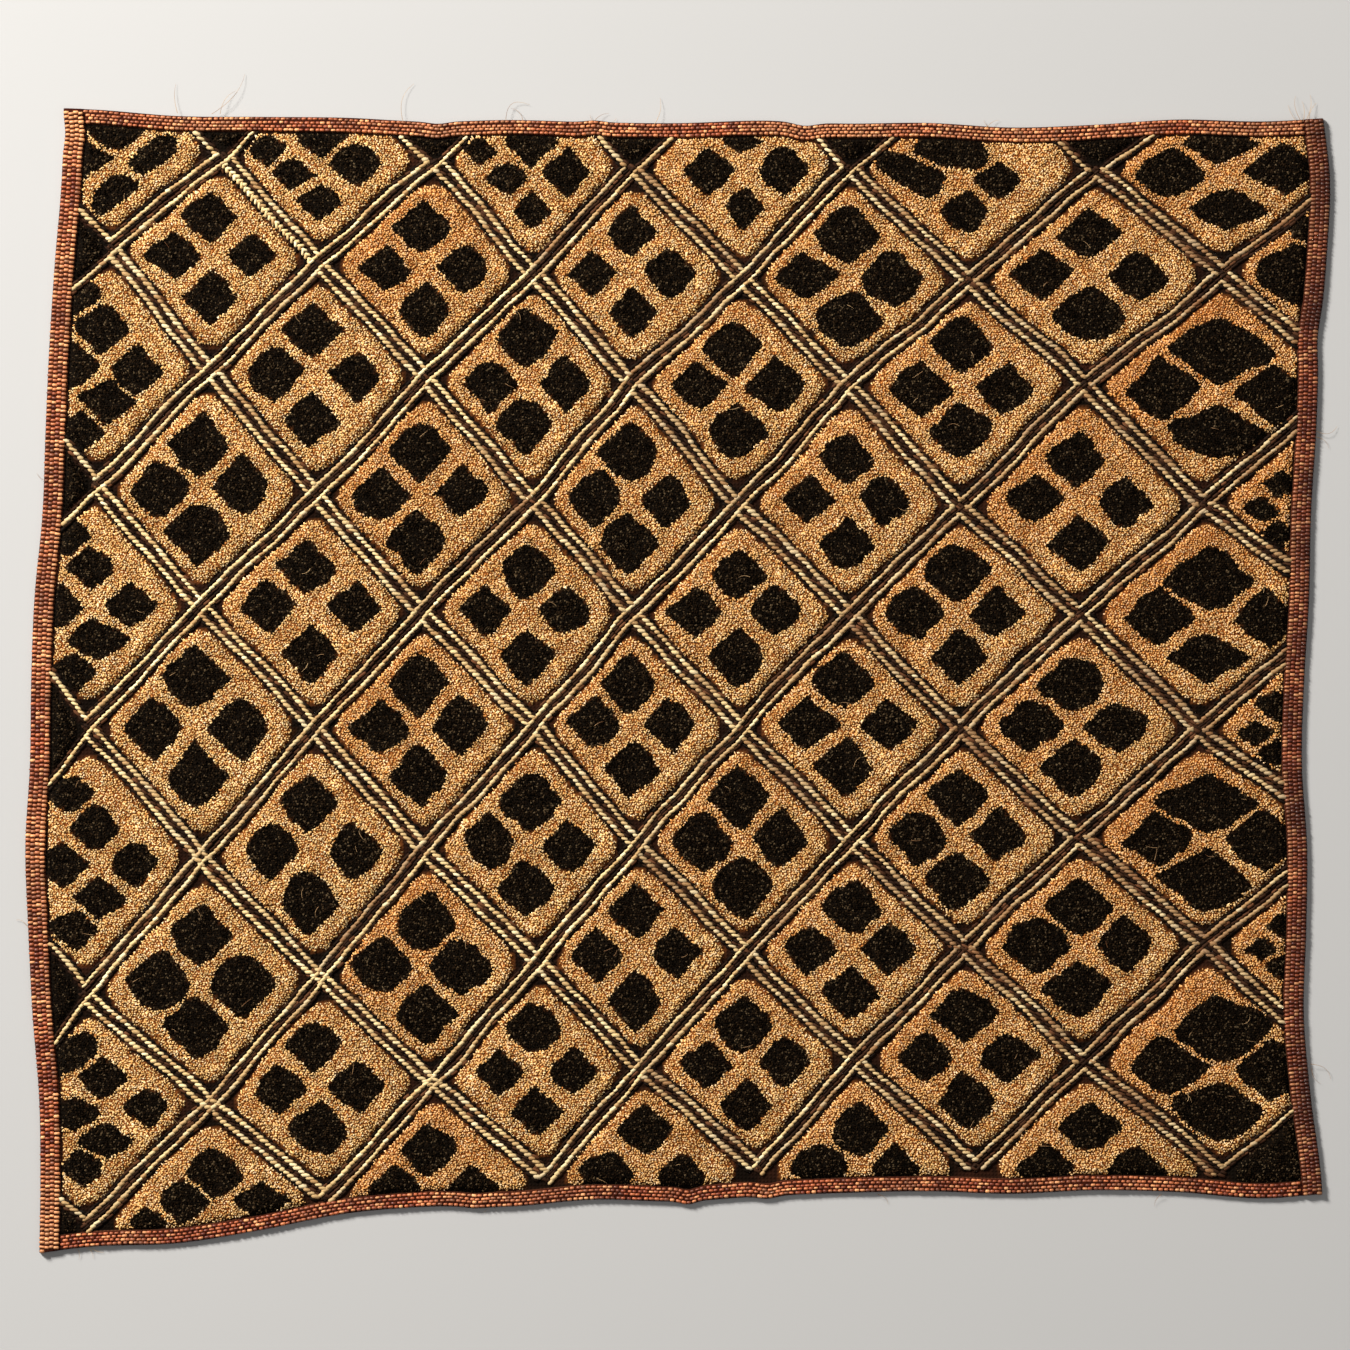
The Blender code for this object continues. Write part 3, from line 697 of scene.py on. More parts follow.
def clothFinish():
    # Ground cloth: dark in the bands, dark brown under the tan pile and dark on the hems as painted shade
    # between tufts and floats, black under the spots, plain weave on the back
    made = Finish("groundCloth", roughness=0.85, specular=0.05)
    threads = []
    for scale, way in ((180.0, "X"), (185.0, "Y")):  # the warp, then the weft
        wave = made.node("ShaderNodeTexWave", {"Vector": made.place(), "Scale": scale, "Distortion": 0.6,
                                               "Detail": 1.0, "Detail Scale": 2.0}, bands_direction=way)
        threads.append(wave.outputs["Fac"])
    weave = made.node("ShaderNodeMath", {0: threads[0], 1: threads[1]}, operation="MULTIPLY").outputs[0]
    raffia = made.ramp(made.noise(60.0, 4.0), (0.3, rgb(112, 60, 40)), (0.6, rgb(160, 98, 66)),
                       (0.75, rgb(186, 124, 86)))
    raffia = made.times(raffia, made.grey(weave, 0.6, 1.15))
    # painted shade: the ground on the hems is dark red-brown where it shows between the floats
    hemGapShade = made.mix(made.value("hem"), raffia, rgb(54, 20, 11))
    dyed = made.ramp(made.noise(70.0, 3.0), (0.4, rgb(14, 7, 3)), (0.7, rgb(44, 22, 12)))
    stained = made.mix(made.value("band"), hemGapShade, dyed)
    # painted shade: the ground under the tan pile is dark brown where it shows between the tufts
    pileGapShade = made.mix(made.value("pile"), stained, rgb(122, 68, 28))
    spotted = made.mix(made.value("spot"), pileGapShade, rgb(12, 7, 3))
    return made.dress(spotted, weave, 0.6, 0.4 * mm)


bodySettings = {
    "quadSize": 2.8,
    "innerSize": (605.0, 510.0),    # about the width and height between the hems
    "firstRows": (-260.0, 270.0),   # where the rows of points lie before they are fitted to the edges
    "groundTop": 1.2,
    "bedTop": 2.35,           # under the tufts
    "bedCrown": 0.45,
    "bedSlope": 2.9,
    "hemEdge": 1.0,
    "hemTop": 2.25,
    "hemRoll": 1.3,
    "hemClosing": 0.9,        # how far from its inner line a hem comes down
    "tuckedOver": 0.8,        # how far from a side hem an end hem comes up
    "cornerLift": 0.35,       # where a side hem lies over the end of another
    "cornerStart": 0.3,       # this far in from the edges
    "pileEdge": 1.5,          # how far in from its foot the ground takes the dark brown under the pile, painted shade between the tufts
    "darkRound": 1.4,         # the ground is dark this far round each spot
    "sideSteps": (0.0, 0.4, 1.2, 3.4, 6.4, 8.6, 9.4, 9.9, 10.5),
    "endSteps": (0.0, 0.4, 1.1, 2.6, 4.8, 6.3, 7.0, 7.5, 8.1),
    "flatSize": (0.626, 0.549),
    "flatArea": 0.332,
}


def hemHeight(inFrom, width):  # height of a rolled hem, by the distance in from its outer edge
    s = bodySettings
    rolled = np.sqrt(np.clip(1 - np.clip(1 - inFrom / s["hemRoll"], 0, 1) ** 2, 0, 1))
    height = s["hemEdge"] + (s["hemTop"] - s["hemEdge"]) * rolled
    closing = eased((width - inFrom) / s["hemClosing"])
    return s["groundTop"] + (height - s["groundTop"]) * closing


def bodyHeight(x, y, pile):
    s = bodySettings
    side, end = clothLayout["sideHem"], clothLayout["endHem"]
    fromSide = np.minimum(x - leftEdge(y), rightEdge(y) - x)
    fromEnd = np.minimum(farEdge(x) - y, y - nearEdge(x))
    bed = s["bedTop"] + s["bedCrown"] * pile["crown"] - s["groundTop"]
    height = s["groundTop"] + bed * eased(pile["depth"] / s["bedSlope"])
    height = np.where(fromEnd < end, hemHeight(fromEnd, end), height)
    tucked = eased((fromSide - side) / s["tuckedOver"])
    height = np.where(fromEnd < end, s["groundTop"] + (height - s["groundTop"]) * tucked, height)
    atCorner = (fromEnd < end) & (fromEnd > s["cornerStart"]) & (fromSide > s["cornerStart"])
    onSide = hemHeight(fromSide, side) + s["cornerLift"] * atCorner
    return np.where(fromSide < side, onSide, height)


def makeBody():
    s = bodySettings
    across, along = (np.linspace(0, 1, round(size / s["quadSize"]))[1:-1] for size in s["innerSize"])
    side, end = np.array(s["sideSteps"]), np.array(s["endSteps"])
    columns, rows = len(across) + 2 * len(side), len(along) + 2 * len(end)
    x = np.zeros((rows, columns))
    y = np.tile(np.linspace(*s["firstRows"], rows)[:, None], (1, columns))
    inner, share = slice(len(end), -len(end)), np.pad(along, len(end))[:, None]
    for _ in range(6):  # each pass fits the points better to the wavy edges
        left, right = leftEdge(y), rightEdge(y)
        innerLeft, innerRight = left + side[-1], right - side[-1]
        spread = innerLeft[:, :1] + (innerRight - innerLeft)[:, :1] * across
        x[:, :len(side)] = left[:, :len(side)] + side
        x[:, len(side):-len(side)] = spread
        x[:, -len(side):] = right[:, -len(side):] - side[::-1]
        far, near = farEdge(x), nearEdge(x)
        innerFar, innerNear = far - end[-1], near + end[-1]
        y[:len(end)] = near[:len(end)] + end[:, None]
        y[inner] = (innerNear + (innerFar - innerNear) * share)[inner]
        y[-len(end):] = far[-len(end):] - end[::-1, None]
    flatX, flatY = x.ravel(), y.ravel()
    pile = pileAt(flatX, flatY)
    z = bodyHeight(flatX, flatY, pile)
    inPile = eased(pile["depth"] / s["pileEdge"])
    underBlack = eased((pile["spot"] + s["darkRound"]) / s["darkRound"])
    onHem = insideHems(flatX, flatY) < 0
    top = np.stack((flatX, flatY, z), axis=1) * mm
    grid = np.arange(rows * columns).reshape(rows, columns)
    quads = np.stack((grid[:-1, :-1], grid[:-1, 1:], grid[1:, 1:], grid[1:, :-1]), axis=-1).reshape(-1, 4)
    rim = np.concatenate((grid[0, :-1], grid[:-1, -1], grid[-1, :0:-1], grid[:0:-1, 0]))
    below = top[rim].copy()
    below[:, 2] = 0.0
    first = len(top)
    faces = [tuple(q) for q in quads.tolist()]
    count = len(rim)
    for k in range(count):
        there = (k + 1) % count
        faces.append((int(rim[k]), first + k, first + there, int(rim[there])))
    faces.append(tuple(range(first + count - 1, first - 1, -1)))
    mesh = bpy.data.meshes.new("raffiaBody")
    mesh.from_pydata(np.concatenate((top, below)).tolist(), [], faces)
    values = {"pile": np.where(onHem, 0, inPile * (1 - underBlack)), "spot": np.where(onHem, 0, underBlack),
              "band": np.where(onHem, 0.0, 1.0), "hem": np.where(onHem, 1.0, 0.0)}
    addValues(mesh, **{key: np.concatenate((value, np.zeros(count))) for key, value in values.items()})
    mesh.shade_smooth()
    mesh.polygons[-1].use_smooth = False  # the underside
    mesh.materials.append(clothFinish())
    print("raffiaBody made:", len(mesh.polygons), "faces")
    return newPiece("raffiaBody", mesh)


raffiaBody = makeBody()

tuftSettings = {
    "spacing": 1.21,          # mm between tufts
    "tan": {"name": "tanTufts", "Length": 1.75 * mm, "Width": 1.35 * mm, "Height": 1.25 * mm,
            "Spin": math.pi, "Lean": 0.45, "Unevenness": 0.3, "Seed": 11},
    "black": {"name": "blackTufts", "Length": 1.7 * mm, "Width": 1.3 * mm, "Height": 1.05 * mm,
              "Spin": math.pi, "Lean": 0.5, "Unevenness": 0.3, "Seed": 23},
    "field": ((-315.0, 630.0), (-276.0, 552.0)),    # where the rows of tufts start, and how far they run
    "jitter": 0.33,           # share of the spacing
    "leastDepth": 0.25,       # mm in from the pile's foot
    "sunk": 0.12,
    "rimLean": 0.9,           # tufts lean outward at the rim,
    "rimReach": 2.5,          # and less and less this far in
    "sway": 0.25,             # neighbours lean alike
    "swayWaves": 5.0,
    "swaySeeds": (8, 9),
    "clumps": 0.16,           # and grow alike
    "clumpWaves": (3.4, 7),   # width and seed
    "rough": 0.18,            # mm that the cut ends rise and fall
    "roughWaves": (2.6, 12),
    "roughFrom": 2.0,         # mm in from the foot where that is full
}


def makePile():
    s = tuftSettings
    step = s["spacing"]
    stepUp = step * math.sqrt(3) / 2
    (startX, width), (startY, height) = s["field"]
    k, j = np.meshgrid(np.arange(int(width / step)), np.arange(int(height / stepUp)))
    x = (startX + (k + 0.5 * (j % 2)) * step).ravel()
    y = (startY + j * stepUp).ravel()
    x = x + rng.uniform(-s["jitter"], s["jitter"], len(x)) * step
    y = y + rng.uniform(-s["jitter"], s["jitter"], len(y)) * step
    pile = pileAt(x, y)
    kept = pile["depth"] > s["leastDepth"]
    x, y = x[kept], y[kept]
    pile = {key: value[kept] for key, value in pile.items()}
    rough = s["rough"] * ripple(x, y, *s["roughWaves"]) * eased(pile["depth"] / s["roughFrom"])
    z = bodyHeight(x, y, pile) - s["sunk"] + rough
    lean = s["rimLean"] * eased(1 - pile["depth"] / s["rimReach"])
    swayX, swayY = (s["sway"] * ripple(x, y, s["swayWaves"], seed) for seed in s["swaySeeds"])
    upward = np.stack((pile["outX"] * lean + swayX, pile["outY"] * lean + swayY, np.ones(len(x))), axis=1)
    grow = 1 + s["clumps"] * ripple(x, y, *s["clumpWaves"])
    heading = np.zeros(len(x))
    dark = pile["spot"] > 0
    print("tufts:", int((~dark).sum()), "tan,", int(dark.sum()), "black")
    pieces = []
    tuft = tuftShape("tuft", 3)
    tanFinish, blackFinish = tanPileFinish(), blackPileFinish()
    for name, chosen, finish, settings in (
            ("tanPileLeft", ~dark & (x < 0), tanFinish, s["tan"]),
            ("tanPileRight", ~dark & (x >= 0), tanFinish, s["tan"]),
            ("blackPileLeft", dark & (x < 0), blackFinish, s["black"]),
            ("blackPileRight", dark & (x >= 0), blackFinish, s["black"])):
        points = pointPiece(name, x[chosen], y[chosen], z[chosen], upward=upward[chosen],
                            grow=grow[chosen], heading=heading[chosen], warm=pile["warm"][chosen])
        pieces.append(plantShapes(points, tuft, finish, settings))
    return pieces


pilePieces = makePile()

cordSettings = {
    "creamOffset": 2.52,      # mm from the middle of a band
    "darkOffsets": (-4.2, -0.75, 0.75, 4.2),
    "creamHeight": 1.75,
    "darkHeight": 1.45,
    "stopOpen": 2.1,          # where both cords turn short of the crossing
    "stopShort": 3.6,         # where a falling cord meets a rising one
    "stopOuter": 3.9,         # the dark cords beside the pile
    "coreHalf": 2.0,          # the dark cords nearer the middle run through every crossing
    "plaitHalf": 0.65,        # a plait is two rows of stitches that slant together
    "plaitLay": 1.8,
    "plaitSize": 0.84,
    "brownToRight": 0.42,     # cream cords are browner towards the right
    "openFrom": 9,            # first column whose crossings are open
    "crossed": ((6, 2), (7, 3), (8, 2), (8, 4)),
    "pinch": 0.25,            # how much of its offset a cord gives up where all of them cross
    "pinchReach": 6.0,
    "nearestRow": 9,          # past these crossings the near hem covers the cords
    "leastRun": 5.0,          # mm of cord that show
    "risingLay": 0.5,         # rising cords lie flatter along their way,
    "fallingLay": -1.15,      # and the stitches of falling ones run nearly level
    "risingSize": 0.97,
    "fallingSize": 1.02,
    # bands whose upper cord is dim brown, painted shadow of the pile beside it
    "pileShadowEdges": (((1, 5), (0, 6)), ((2, 6), (1, 7)), ((2, 8), (1, 9)), ((4, 4), (3, 5)),
                   ((5, 7), (4, 8)), ((7, 3), (6, 4))),
    "thickEdges": (((1, 3), (0, 2)),),
    "bareEdges": (((1, 11), (0, 12)),),    # no cords on the lower side there
    "bandPoints": 56,         # on each stretch of a band
    "leastInside": 0.2,       # mm inside the hems
    "waver": (0.5, 9.0, 40),  # mm, width of the waves, and the seed of the cords below the middle
    "uneven": (12.0, 44),     # width and seed; shade and size go by it
    "unevenBrown": 0.3,
    "unevenSize": 0.12,
    "brownJitter": 0.3,
    "brownColumns": (3, 7),   # the column where brownToRight starts, and how many it takes
    "pileShadowBrown": 0.62,
    "cream": {"name": "creamStitches", "Pitch": 2.55 * mm, "Length": 4.0 * mm, "Width": 1.9 * mm,
              "Height": 1.6 * mm, "Slant": -0.43, "Unevenness": 0.22, "Seed": 31},
    "dark": {"name": "darkStitches", "Pitch": 3.4 * mm, "Length": 4.6 * mm, "Width": 1.75 * mm,
             "Height": 1.2 * mm, "Slant": -0.22, "Unevenness": 0.2, "Seed": 37},
}


def latticeLine(row, column, step):  # crossings of a slanting line, from the near side to the far side
    line = []
    while (clothLayout["firstRow"] <= row <= clothLayout["lastRow"]
           and clothLayout["firstColumn"] <= column <= clothLayout["lastColumn"]):
        line.append((row, column))
        row, column = row - 1, column + step
    return line


def latticeLines(step):
    first = clothLayout["firstColumn"] if step > 0 else clothLayout["lastColumn"]
    columns = range(clothLayout["firstColumn"], clothLayout["lastColumn"] + 1)
    starts = [(clothLayout["lastRow"], c) for c in columns]
    starts += [(r, first) for r in range(clothLayout["firstRow"], clothLayout["lastRow"])]
    lines = [latticeLine(r, c, step) for r, c in starts if (r + c) % 2 == 0]
    return [line for line in lines if len(line) > 1]


def stopAt(place, rising):
    if place in cordSettings["crossed"]:
        return 0.0
    if place[1] >= cordSettings["openFrom"]:
        return cordSettings["stopOpen"]
    return 0.0 if rising else cordSettings["stopShort"]


def besideBlack(here, step, offset):  # whether the pile on that side of the band is black all over
    row, column = here
    if step > 0:
        beside = (row - 1, column) if offset > 0 else (row, column + 1)
    else:
        beside = (row, column - 1) if offset > 0 else (row - 1, column)
    return allDarkAt(*beside)


def keptRuns(points):  # the stretches between the hems
    inside = insideHems(points[:, 0], points[:, 1]) > cordSettings["leastInside"]
    runs, start = [], None
    for k in range(len(points) + 1):
        here = k < len(points) and inside[k]
        if here and start is None:
            start = k
        if not here and start is not None:
            if math.dist(points[start], points[k - 1]) > cordSettings["leastRun"]:
                runs.append(points[start:k])
            start = None
    return runs


def bandMiddle(places, k):  # points along a band between two crossings, the way across it and its length
    here, there = places[k], places[k + 1]
    before, after = places[max(k - 1, 0)], places[min(k + 2, len(places) - 1)]
    t = np.linspace(0, 1, cordSettings["bandPoints"])[:, None]
    wayHere, wayThere = there - before, after - here
    way = wayHere / np.hypot(*wayHere) * (1 - t) + wayThere / np.hypot(*wayThere) * t
    way = way / np.hypot(way[:, 0], way[:, 1])[:, None]
    across = np.stack((-way[:, 1], way[:, 0]), axis=1)
    return here + (there - here) * t, across, math.dist(here, there)


def stopsOf(line, k, step, offset):  # mm that a cord stays short of the crossings at its two ends
    stops = []
    for at, beyond in ((k, k - 1), (k + 1, k + 1)):
        stop = stopAt(line[at], step > 0)
        crossed = line[at] in cordSettings["crossed"]
        turns = 0 <= beyond < len(line) - 1 and besideBlack(line[beyond], step, offset)
        if turns:
            stop = max(stop, abs(offset))
        if abs(offset) > cordSettings["creamOffset"] and not crossed:
            stop = max(stop, cordSettings["stopOuter"])
        stops.append(stop)
    return stops


def cordRuns(offset, height, trimmed):
    s = cordSettings
    found = {key: [] for key in ("runs", "brown", "grow", "lay", "core")}
    lines = [(step, line) for step in (1, -1) for line in latticeLines(step)]
    for step, line, k in [(step, line, k) for step, line in lines for k in range(len(line) - 1)]:
        edge = (line[k], line[k + 1])
        bare = edge in s["bareEdges"] and offset < -s["coreHalf"]
        if bare or besideBlack(line[k], step, offset) or line[k][0] > s["nearestRow"]:
            continue
        slant = "rising" if step > 0 else "falling"
        lay, size = s[slant + "Lay"], s[slant + "Size"]
        middle, across, length = bandMiddle([crossing(*at) for at in line], k)
        way = np.linspace(0, length, len(middle))
        most, width, seed = s["waver"]
        waver = most * ripple(middle[:, 0], middle[:, 1], width, seed + int(offset > 0))
        for at, away in ((line[k], way), (line[k + 1], length - way)):
            if at in s["crossed"]:
                waver = waver - offset * s["pinch"] * np.exp(-((away / s["pinchReach"]) ** 2))
        low, high = stopsOf(line, k, step, offset) if trimmed else (0.0, 0.0)
        kept = (way >= low) & (way <= length - high)
        firstColumn, columns = s["brownColumns"]
        toRight = s["brownToRight"] * eased((line[k][1] - firstColumn) / columns)
        browned = rng.uniform(0.0, s["brownJitter"]) + toRight
        # painted shadow: the upper cord of these bands is dimmed to brown where the pile beside it shades
        # it
        if edge in s["pileShadowEdges"] and offset > 0:
            browned = s["pileShadowBrown"]
        thick = edge in s["thickEdges"] and offset > 0
        for side in (-1, 1) if thick else (0,):
            shift = offset + waver + side * s["plaitHalf"]
            points = (middle + across * shift[:, None])[kept]
            points = points + np.stack(strayed(points[:, 0], points[:, 1]), axis=1)
            points = np.concatenate((points, np.full((len(points), 1), height)), axis=1)
            for run in keptRuns(points):
                uneven = ripple(run[:, 0], run[:, 1], *s["uneven"])
                brown = np.clip(browned + s["unevenBrown"] * uneven, 0, 1)
                found["runs"].append(run)
                found["brown"] += [0.0] * len(run) if thick else list(brown)
                found["grow"] += list((s["plaitSize"] if thick else size) + s["unevenSize"] * uneven)
                found["lay"] += [side * s["plaitLay"] if thick else lay] * len(run)
                found["core"] += [0.0 if trimmed else 1.0] * len(run)
    return found


def makeCords():
    s = cordSettings
    pieces = []
    for shade, shape, finish, offsets in (
            ("cream", grainShape("grain", 5), creamCordFinish(), (-s["creamOffset"], s["creamOffset"])),
            ("dark", grainShape("slimGrain", 4), darkCordFinish(), s["darkOffsets"])):
        parts = [cordRuns(offset, s[shade + "Height"], abs(offset) > s["coreHalf"]) for offset in offsets]
        found = {key: sum((part[key] for part in parts), []) for key in parts[0]}
        pieces.append(stitchAlong(pathPiece(shade + "Cords", **found), shape, finish, s[shade]))
    return pieces


cordPieces = makeCords()

hemSettings = {
    # edge, way in, whether it is a side, how pale, how aged and, on the right hem, painted shade, mm
    # between floats, their size
    "edges": ((leftEdge, 1, True, 0.1, 0.15, 2.1, 1.1), (rightEdge, -1, True, 0.0, 0.35, 1.87, 1.0),
              (farEdge, -1, False, 0.22, 0.0, 2.5, 0.97), (nearEdge, 1, False, 0.08, 0.05, 2.6, 0.97)),
    "sideSpan": (-276.0, 275.0),
    "endSpan": (-304.0, 304.0),
    "ribBumps": 4,            # side hems: ribs run across the hem
    "ribStagger": 0.1,        # share of the pitch, to and fro
    "ribJitter": 0.12,
    "ribFrom": 0.35,          # mm in from the edge
    "ribShort": 0.9,          # mm of the hem that the ribs leave free
    "ribEnd": 0.5,            # mm that they stay off the far and near edges
    "innerPale": 0.42,        # the innermost floats there are paler
    "innerShare": 0.8,
    "innerWaves": (9.0, 72),  # width and seed
    "rowCount": 4,            # end hems: rows run along the hem
    "rowJitter": 0.35,
    "rowFrom": 0.3,
    "rowShort": 0.7,
    "rowWaver": (0.25, 12.0, 60),     # mm, width of the waves, first row's seed
    "rowEnd": 0.8,            # mm that they stay off the side hems
    "sunk": 0.12,
    "unevenPale": 0.25,
    "paleWaves": (22.0, 70),
    "unevenAged": 0.3,
    "agedWaves": (16.0, 71),
    "cornerReach": (20.0, 24.0),      # mm from the far and the near edge at the left, paler there
    "cornerPale": 0.55,
    "cornerFresh": 0.3,
    "outerShade": 0.45,        # the right hem is darker at its outer edge, painted shade where it rolls away from the light
    "floats": {"name": "hemWeave", "Length": 2.7 * mm, "Width": 1.5 * mm, "Height": 1.2 * mm,
               "Spin": 0.09, "Lean": 0.12, "Unevenness": 0.18, "Seed": 53},
}


def sideHemFloats(edge, inward, pitch):
    s = hemSettings
    y = np.arange(*s["sideSpan"], pitch)
    places = []
    for k in range(s["ribBumps"]):
        stagger = s["ribStagger"] * (-1) ** k * pitch
        rowY = y + stagger + rng.uniform(-s["ribJitter"], s["ribJitter"], len(y))
        fromEdge = s["ribFrom"] + (k + 0.5) / s["ribBumps"] * (clothLayout["sideHem"] - s["ribShort"])
        x = edge(rowY) + inward * fromEdge
        places.append(np.stack((x, rowY, np.full(len(y), fromEdge)), axis=1))
    x, y, fromEdge = np.concatenate(places).T
    kept = (y < farEdge(x) - s["ribEnd"]) & (y > nearEdge(x) + s["ribEnd"])
    return x[kept], y[kept], fromEdge[kept]


def endHemFloats(edge, inward, pitch):
    s = hemSettings
    most, width, seed = s["rowWaver"]
    places = []
    for k in range(s["rowCount"]):
        x = np.arange(*s["endSpan"], pitch) + 0.5 * (k % 2) * pitch
        x = x + rng.uniform(-s["rowJitter"], s["rowJitter"], len(x))
        fromEdge = s["rowFrom"] + (k + 0.5) / s["rowCount"] * (clothLayout["endHem"] - s["rowShort"])
        y = edge(x) + inward * (fromEdge + most * ripple(x, x * 0, width, seed + k))
        places.append(np.stack((x, y, np.full(len(x), fromEdge)), axis=1))
    x, y, fromEdge = np.concatenate(places).T
    off = clothLayout["sideHem"] + s["rowEnd"]
    kept = (x > leftEdge(y) + off) & (x < rightEdge(y) - off)
    return x[kept], y[kept], fromEdge[kept]


def makeHems():
    s = hemSettings
    points, values = [], []
    farReach, nearReach = s["cornerReach"]
    for edge, inward, side, paleness, ageAndShade, pitch, size in s["edges"]:
        x, y, fromEdge = (sideHemFloats if side else endHemFloats)(edge, inward, pitch)
        at = y if side else x
        slope = (edge(at + 1.0) - edge(at - 1.0)) / 2
        bare = {key: np.zeros(len(x)) for key in ("depth", "crown")}
        points.append(np.stack((x, y, bodyHeight(x, y, bare) - s["sunk"]), axis=1))
        corner = np.exp(-((farEdge(x) - y) / farReach) ** 2) + np.exp(-((y - nearEdge(x)) / nearReach) ** 2)
        corner = corner * (edge is leftEdge)
        pale = paleness + s["unevenPale"] * ripple(x, y, *s["paleWaves"]) + s["cornerPale"] * corner
        if side:
            innermost = fromEdge > s["innerShare"] * clothLayout["sideHem"]
            pale = pale + s["innerPale"] * innermost * (0.6 + 0.4 * ripple(x, y, *s["innerWaves"]))
        aged = ageAndShade + s["unevenAged"] * ripple(x, y, *s["agedWaves"]) - s["cornerFresh"] * corner
        # painted shade: the right hem darkens toward its outer edge
        aged = aged + s["outerShade"] * (1 - fromEdge / clothLayout["sideHem"]) * (edge is rightEdge)
        heading = -np.arctan(slope) if side else np.arctan(slope)
        grow = np.full(len(x), size)
        values.append(np.stack((heading, np.clip(pale, 0, 1), np.clip(aged, 0, 1), grow), axis=1))
    points, (heading, pale, aged, grow) = np.concatenate(points), np.concatenate(values).T
    up = np.tile((0.0, 0.0, 1.0), (len(points), 1))
    floats = pointPiece("hemWeave", *points.T, upward=up, grow=grow, heading=heading, pale=pale, aged=aged)
    return plantShapes(floats, grainShape("hemGrain", 5), hemFinish(), s["floats"])


hemWeave = makeHems()

fibreSettings = {
    # root X, Y, tip X, Y, bow to the left of its way, lift
    "atEdges": ((-239.9, 272.0, -240.8, 286.3, 0.8, 0.6), (-223.5, 271.6, -207.7, 291.1, -2.2, 1.5),
                (-219.5, 271.6, -212.0, 283.0, 1.5, 1.0), (-131.5, 267.0, -126.6, 286.3, 2.8, 0.8),
                (-82.5, 267.0, -71.0, 276.2, 4.5, 1.0), (-74.0, 267.0, -80.0, 274.5, -1.5, 0.5),
                (-11.5, 266.0, -8.5, 279.6, -1.2, 0.8), (-40.5, 267.5, -33.0, 272.0, 1.0, 0.6),
                (-38.5, 267.5, -42.0, 271.5, 0.8, 0.6), (-36.0, 267.0, -29.5, 269.8, -1.0, 0.5),
                (148.0, 265.0, 154.5, 268.8, 0.8, 0.5), (150.0, 265.0, 147.0, 269.0, 0.6, 0.5),
                (299.0, 268.0, 296.5, 280.5, 1.2, 1.5), (301.0, 268.0, 303.5, 281.0, -1.0, 1.6),
                (302.5, 268.0, 306.5, 277.0, 0.8, 1.0), (297.5, 267.0, 293.0, 276.0, 0.5, 0.8),
                (300.0, 268.0, 299.6, 278.0, -0.6, 1.2), (-287.0, -270.0, -280.5, -277.5, 1.5, 0.4),
                (-284.5, -269.0, -275.5, -274.5, -1.0, 0.4), (-289.0, -270.5, -287.5, -278.0, 0.8, 0.3),
                (-93.5, -250.5, -87.0, -254.8, 1.2, 0.3), (-91.0, -250.5, -93.0, -255.2, 0.6, 0.3),
                (305.5, 120.0, 316.5, 122.0, -2.2, 0.8), (304.5, 117.0, 312.5, 111.5, 1.4, 0.5),
                (303.5, -184.0, 313.5, -191.5, 2.0, 0.6), (304.0, -186.0, 308.5, -193.5, -1.0, 0.4),
                (-302.0, 96.0, -307.5, 99.5, 0.9, 0.4), (-312.0, -118.0, -317.5, -115.0, -0.9, 0.4),
                (96.0, -246.5, 101.0, -251.5, 1.0, 0.3), (232.0, -246.5, 229.0, -252.5, -0.8, 0.3)),
    "rootHeight": 1.7,        # above the height of a fallen tip
    "tipHeight": 0.25,
    "strandPoints": 9,
    "onPile": 150,            # short hairs that lie on the pile
    "tries": 900,             # places drawn for them
    "field": ((-296, 298), (-245, 262)),
    "leastDepth": 3,          # mm in from the pile's foot
    "pileHair": (2.5, 6.5),   # their least and most length
    "hairTurn": 1.4,
    "hairHeight": 3.55,
    "hairArch": 0.35,
    "hairJitter": (-0.1, 0.2),
    "strand": {"name": "strands", "Radius": 0.11 * mm, "Taper": 0.6, "Seed": 61},
}


def makeFibres():
    s = fibreSettings
    t = np.linspace(0, 1, s["strandPoints"])
    runs = []
    for rootX, rootY, tipX, tipY, bow, lift in s["atEdges"]:
        length = math.hypot(tipX - rootX, tipY - rootY)
        across = np.array((rootY - tipY, tipX - rootX)) / length
        curve = bow * 4 * t * (1 - t) * (1 + 0.5 * t)
        x = rootX + (tipX - rootX) * t + across[0] * curve
        y = rootY + (tipY - rootY) * t + across[1] * curve
        z = s["rootHeight"] * (1 - t) ** 2 + s["tipHeight"] + lift * 4 * t * (1 - t)
        runs.append(np.stack((x, y, z), axis=1))
    x, y = [rng.uniform(low, high, s["tries"]) for low, high in s["field"]]
    deep = np.flatnonzero(pileAt(x, y)["depth"] > s["leastDepth"])
    for k in deep[:s["onPile"]]:
        way, turn = rng.uniform(0, math.tau), rng.uniform(-s["hairTurn"], s["hairTurn"])
        length = rng.uniform(*s["pileHair"])
        heading = way + turn * t
        along = np.stack((np.cos(heading), np.sin(heading)), axis=1) * length / len(t)
        places = np.array((x[k], y[k])) + np.cumsum(along, axis=0)
        z = s["hairHeight"] + s["hairArch"] * np.sin(math.pi * t) + rng.uniform(*s["hairJitter"])
        runs.append(np.concatenate((places, z[:, None]), axis=1))
    return spinStrands(pathPiece("looseFibres", runs), fibreFinish(), s["strand"])


looseFibres = makeFibres()

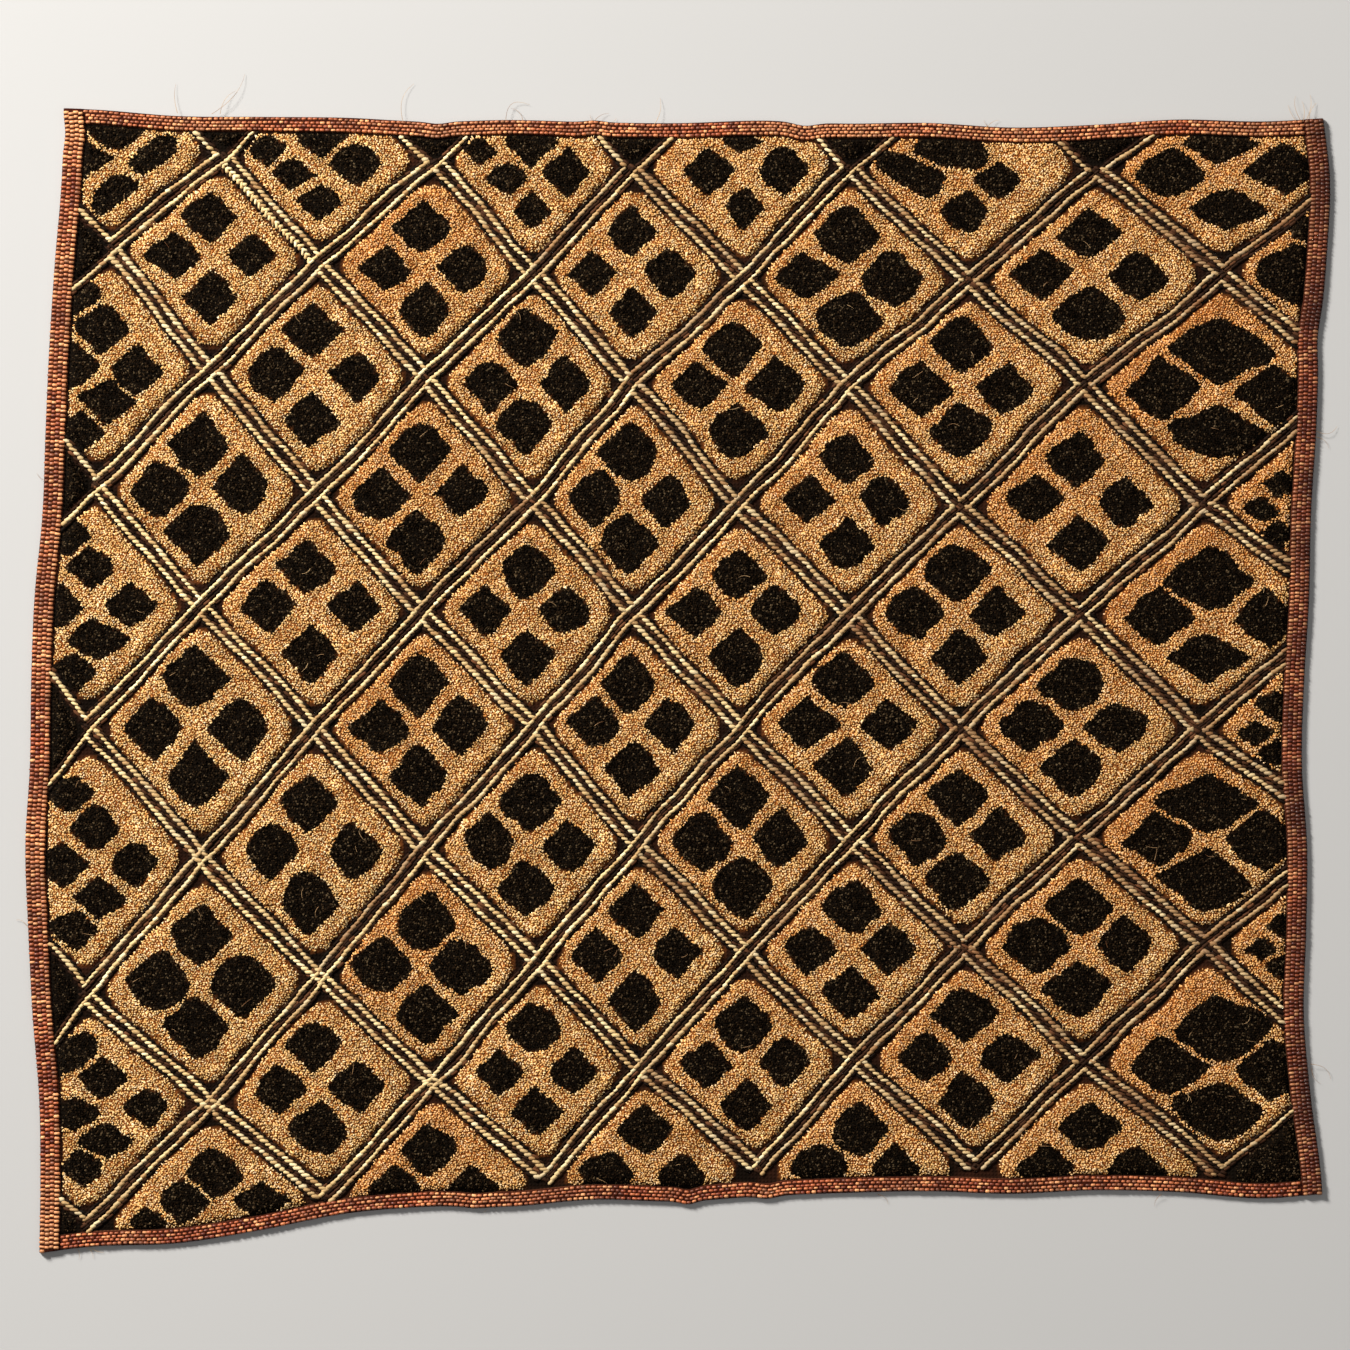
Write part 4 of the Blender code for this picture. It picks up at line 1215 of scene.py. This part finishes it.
cameraSettings = {
    "frameWidth": 648.0,      # mm of the cloth's level across the picture
    "middle": (-1.3, 2.6),
    "height": 2.4,            # metres
    "sensor": 36.0,
}


def placeCamera():
    s = cameraSettings
    data = bpy.data.cameras.new("overhead")
    data.sensor_width = s["sensor"]
    data.lens = data.sensor_width * s["height"] / (s["frameWidth"] * mm)
    camera = bpy.data.objects.new("overhead", data)
    camera.location = (s["middle"][0] * mm, s["middle"][1] * mm, s["height"])
    bpy.context.scene.collection.objects.link(camera)
    bpy.context.scene.camera = camera


lightSettings = {
    # name, place in metres, size, power in watts, colour
    "lights": (("softKey", (-1.9, 1.9, 1.74), 0.65, 222.0, (1.0, 0.965, 0.91)),
               ("paleFill", (1.1, -0.9, 1.6), 1.6, 5.0, (1.0, 0.98, 0.95)),
               ("overhead", (0.1, 0.1, 2.0), 1.2, 3.0, (1.0, 1.0, 1.0))),
    "air": 0.11,
    "airColour": (1.0, 0.98, 0.96, 1.0),
    "floor": rgb(182, 182, 182),
    "floorHalf": 6,           # metres
    "floorTop": -0.0004,
}


def placeLights():
    for name, place, size, power, colour in lightSettings["lights"]:
        data = bpy.data.lights.new(name, "AREA")
        data.size, data.energy, data.color = size, power, colour
        light = bpy.data.objects.new(name, data)
        light.location = place
        x, y, z = place
        light.rotation_euler = (math.atan2(math.hypot(x, y), z), 0.0, math.atan2(x, -y) if x or y else 0.0)
        bpy.context.scene.collection.objects.link(light)
    world = bpy.data.worlds.new("paleAir")
    world.use_nodes = True
    air = world.node_tree.nodes["Background"]
    air.inputs["Color"].default_value = lightSettings["airColour"]
    air.inputs["Strength"].default_value = lightSettings["air"]
    bpy.context.scene.world = world


def placeFloor():
    mesh = bpy.data.meshes.new("paleFloor")
    half, top = lightSettings["floorHalf"], lightSettings["floorTop"]
    corners = [(x * half, y * half, top) for x, y in ((-1, -1), (1, -1), (1, 1), (-1, 1))]
    mesh.from_pydata(corners, [], [(0, 1, 2, 3)])
    made = Finish("paleFloor", roughness=0.9)
    made.shader.inputs["Base Color"].default_value = lightSettings["floor"]
    mesh.materials.append(made.material)
    floor = newPiece("paleFloor", mesh)


placeCamera()
placeLights()
placeFloor()
bpy.context.scene.view_settings.view_transform = "Standard"

upperPieces = pilePieces + cordPieces + [hemWeave, looseFibres]
for piece in [raffiaBody] + upperPieces:
    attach(piece, "root")
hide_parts("raffia_cloth")
print("pieces fitted")
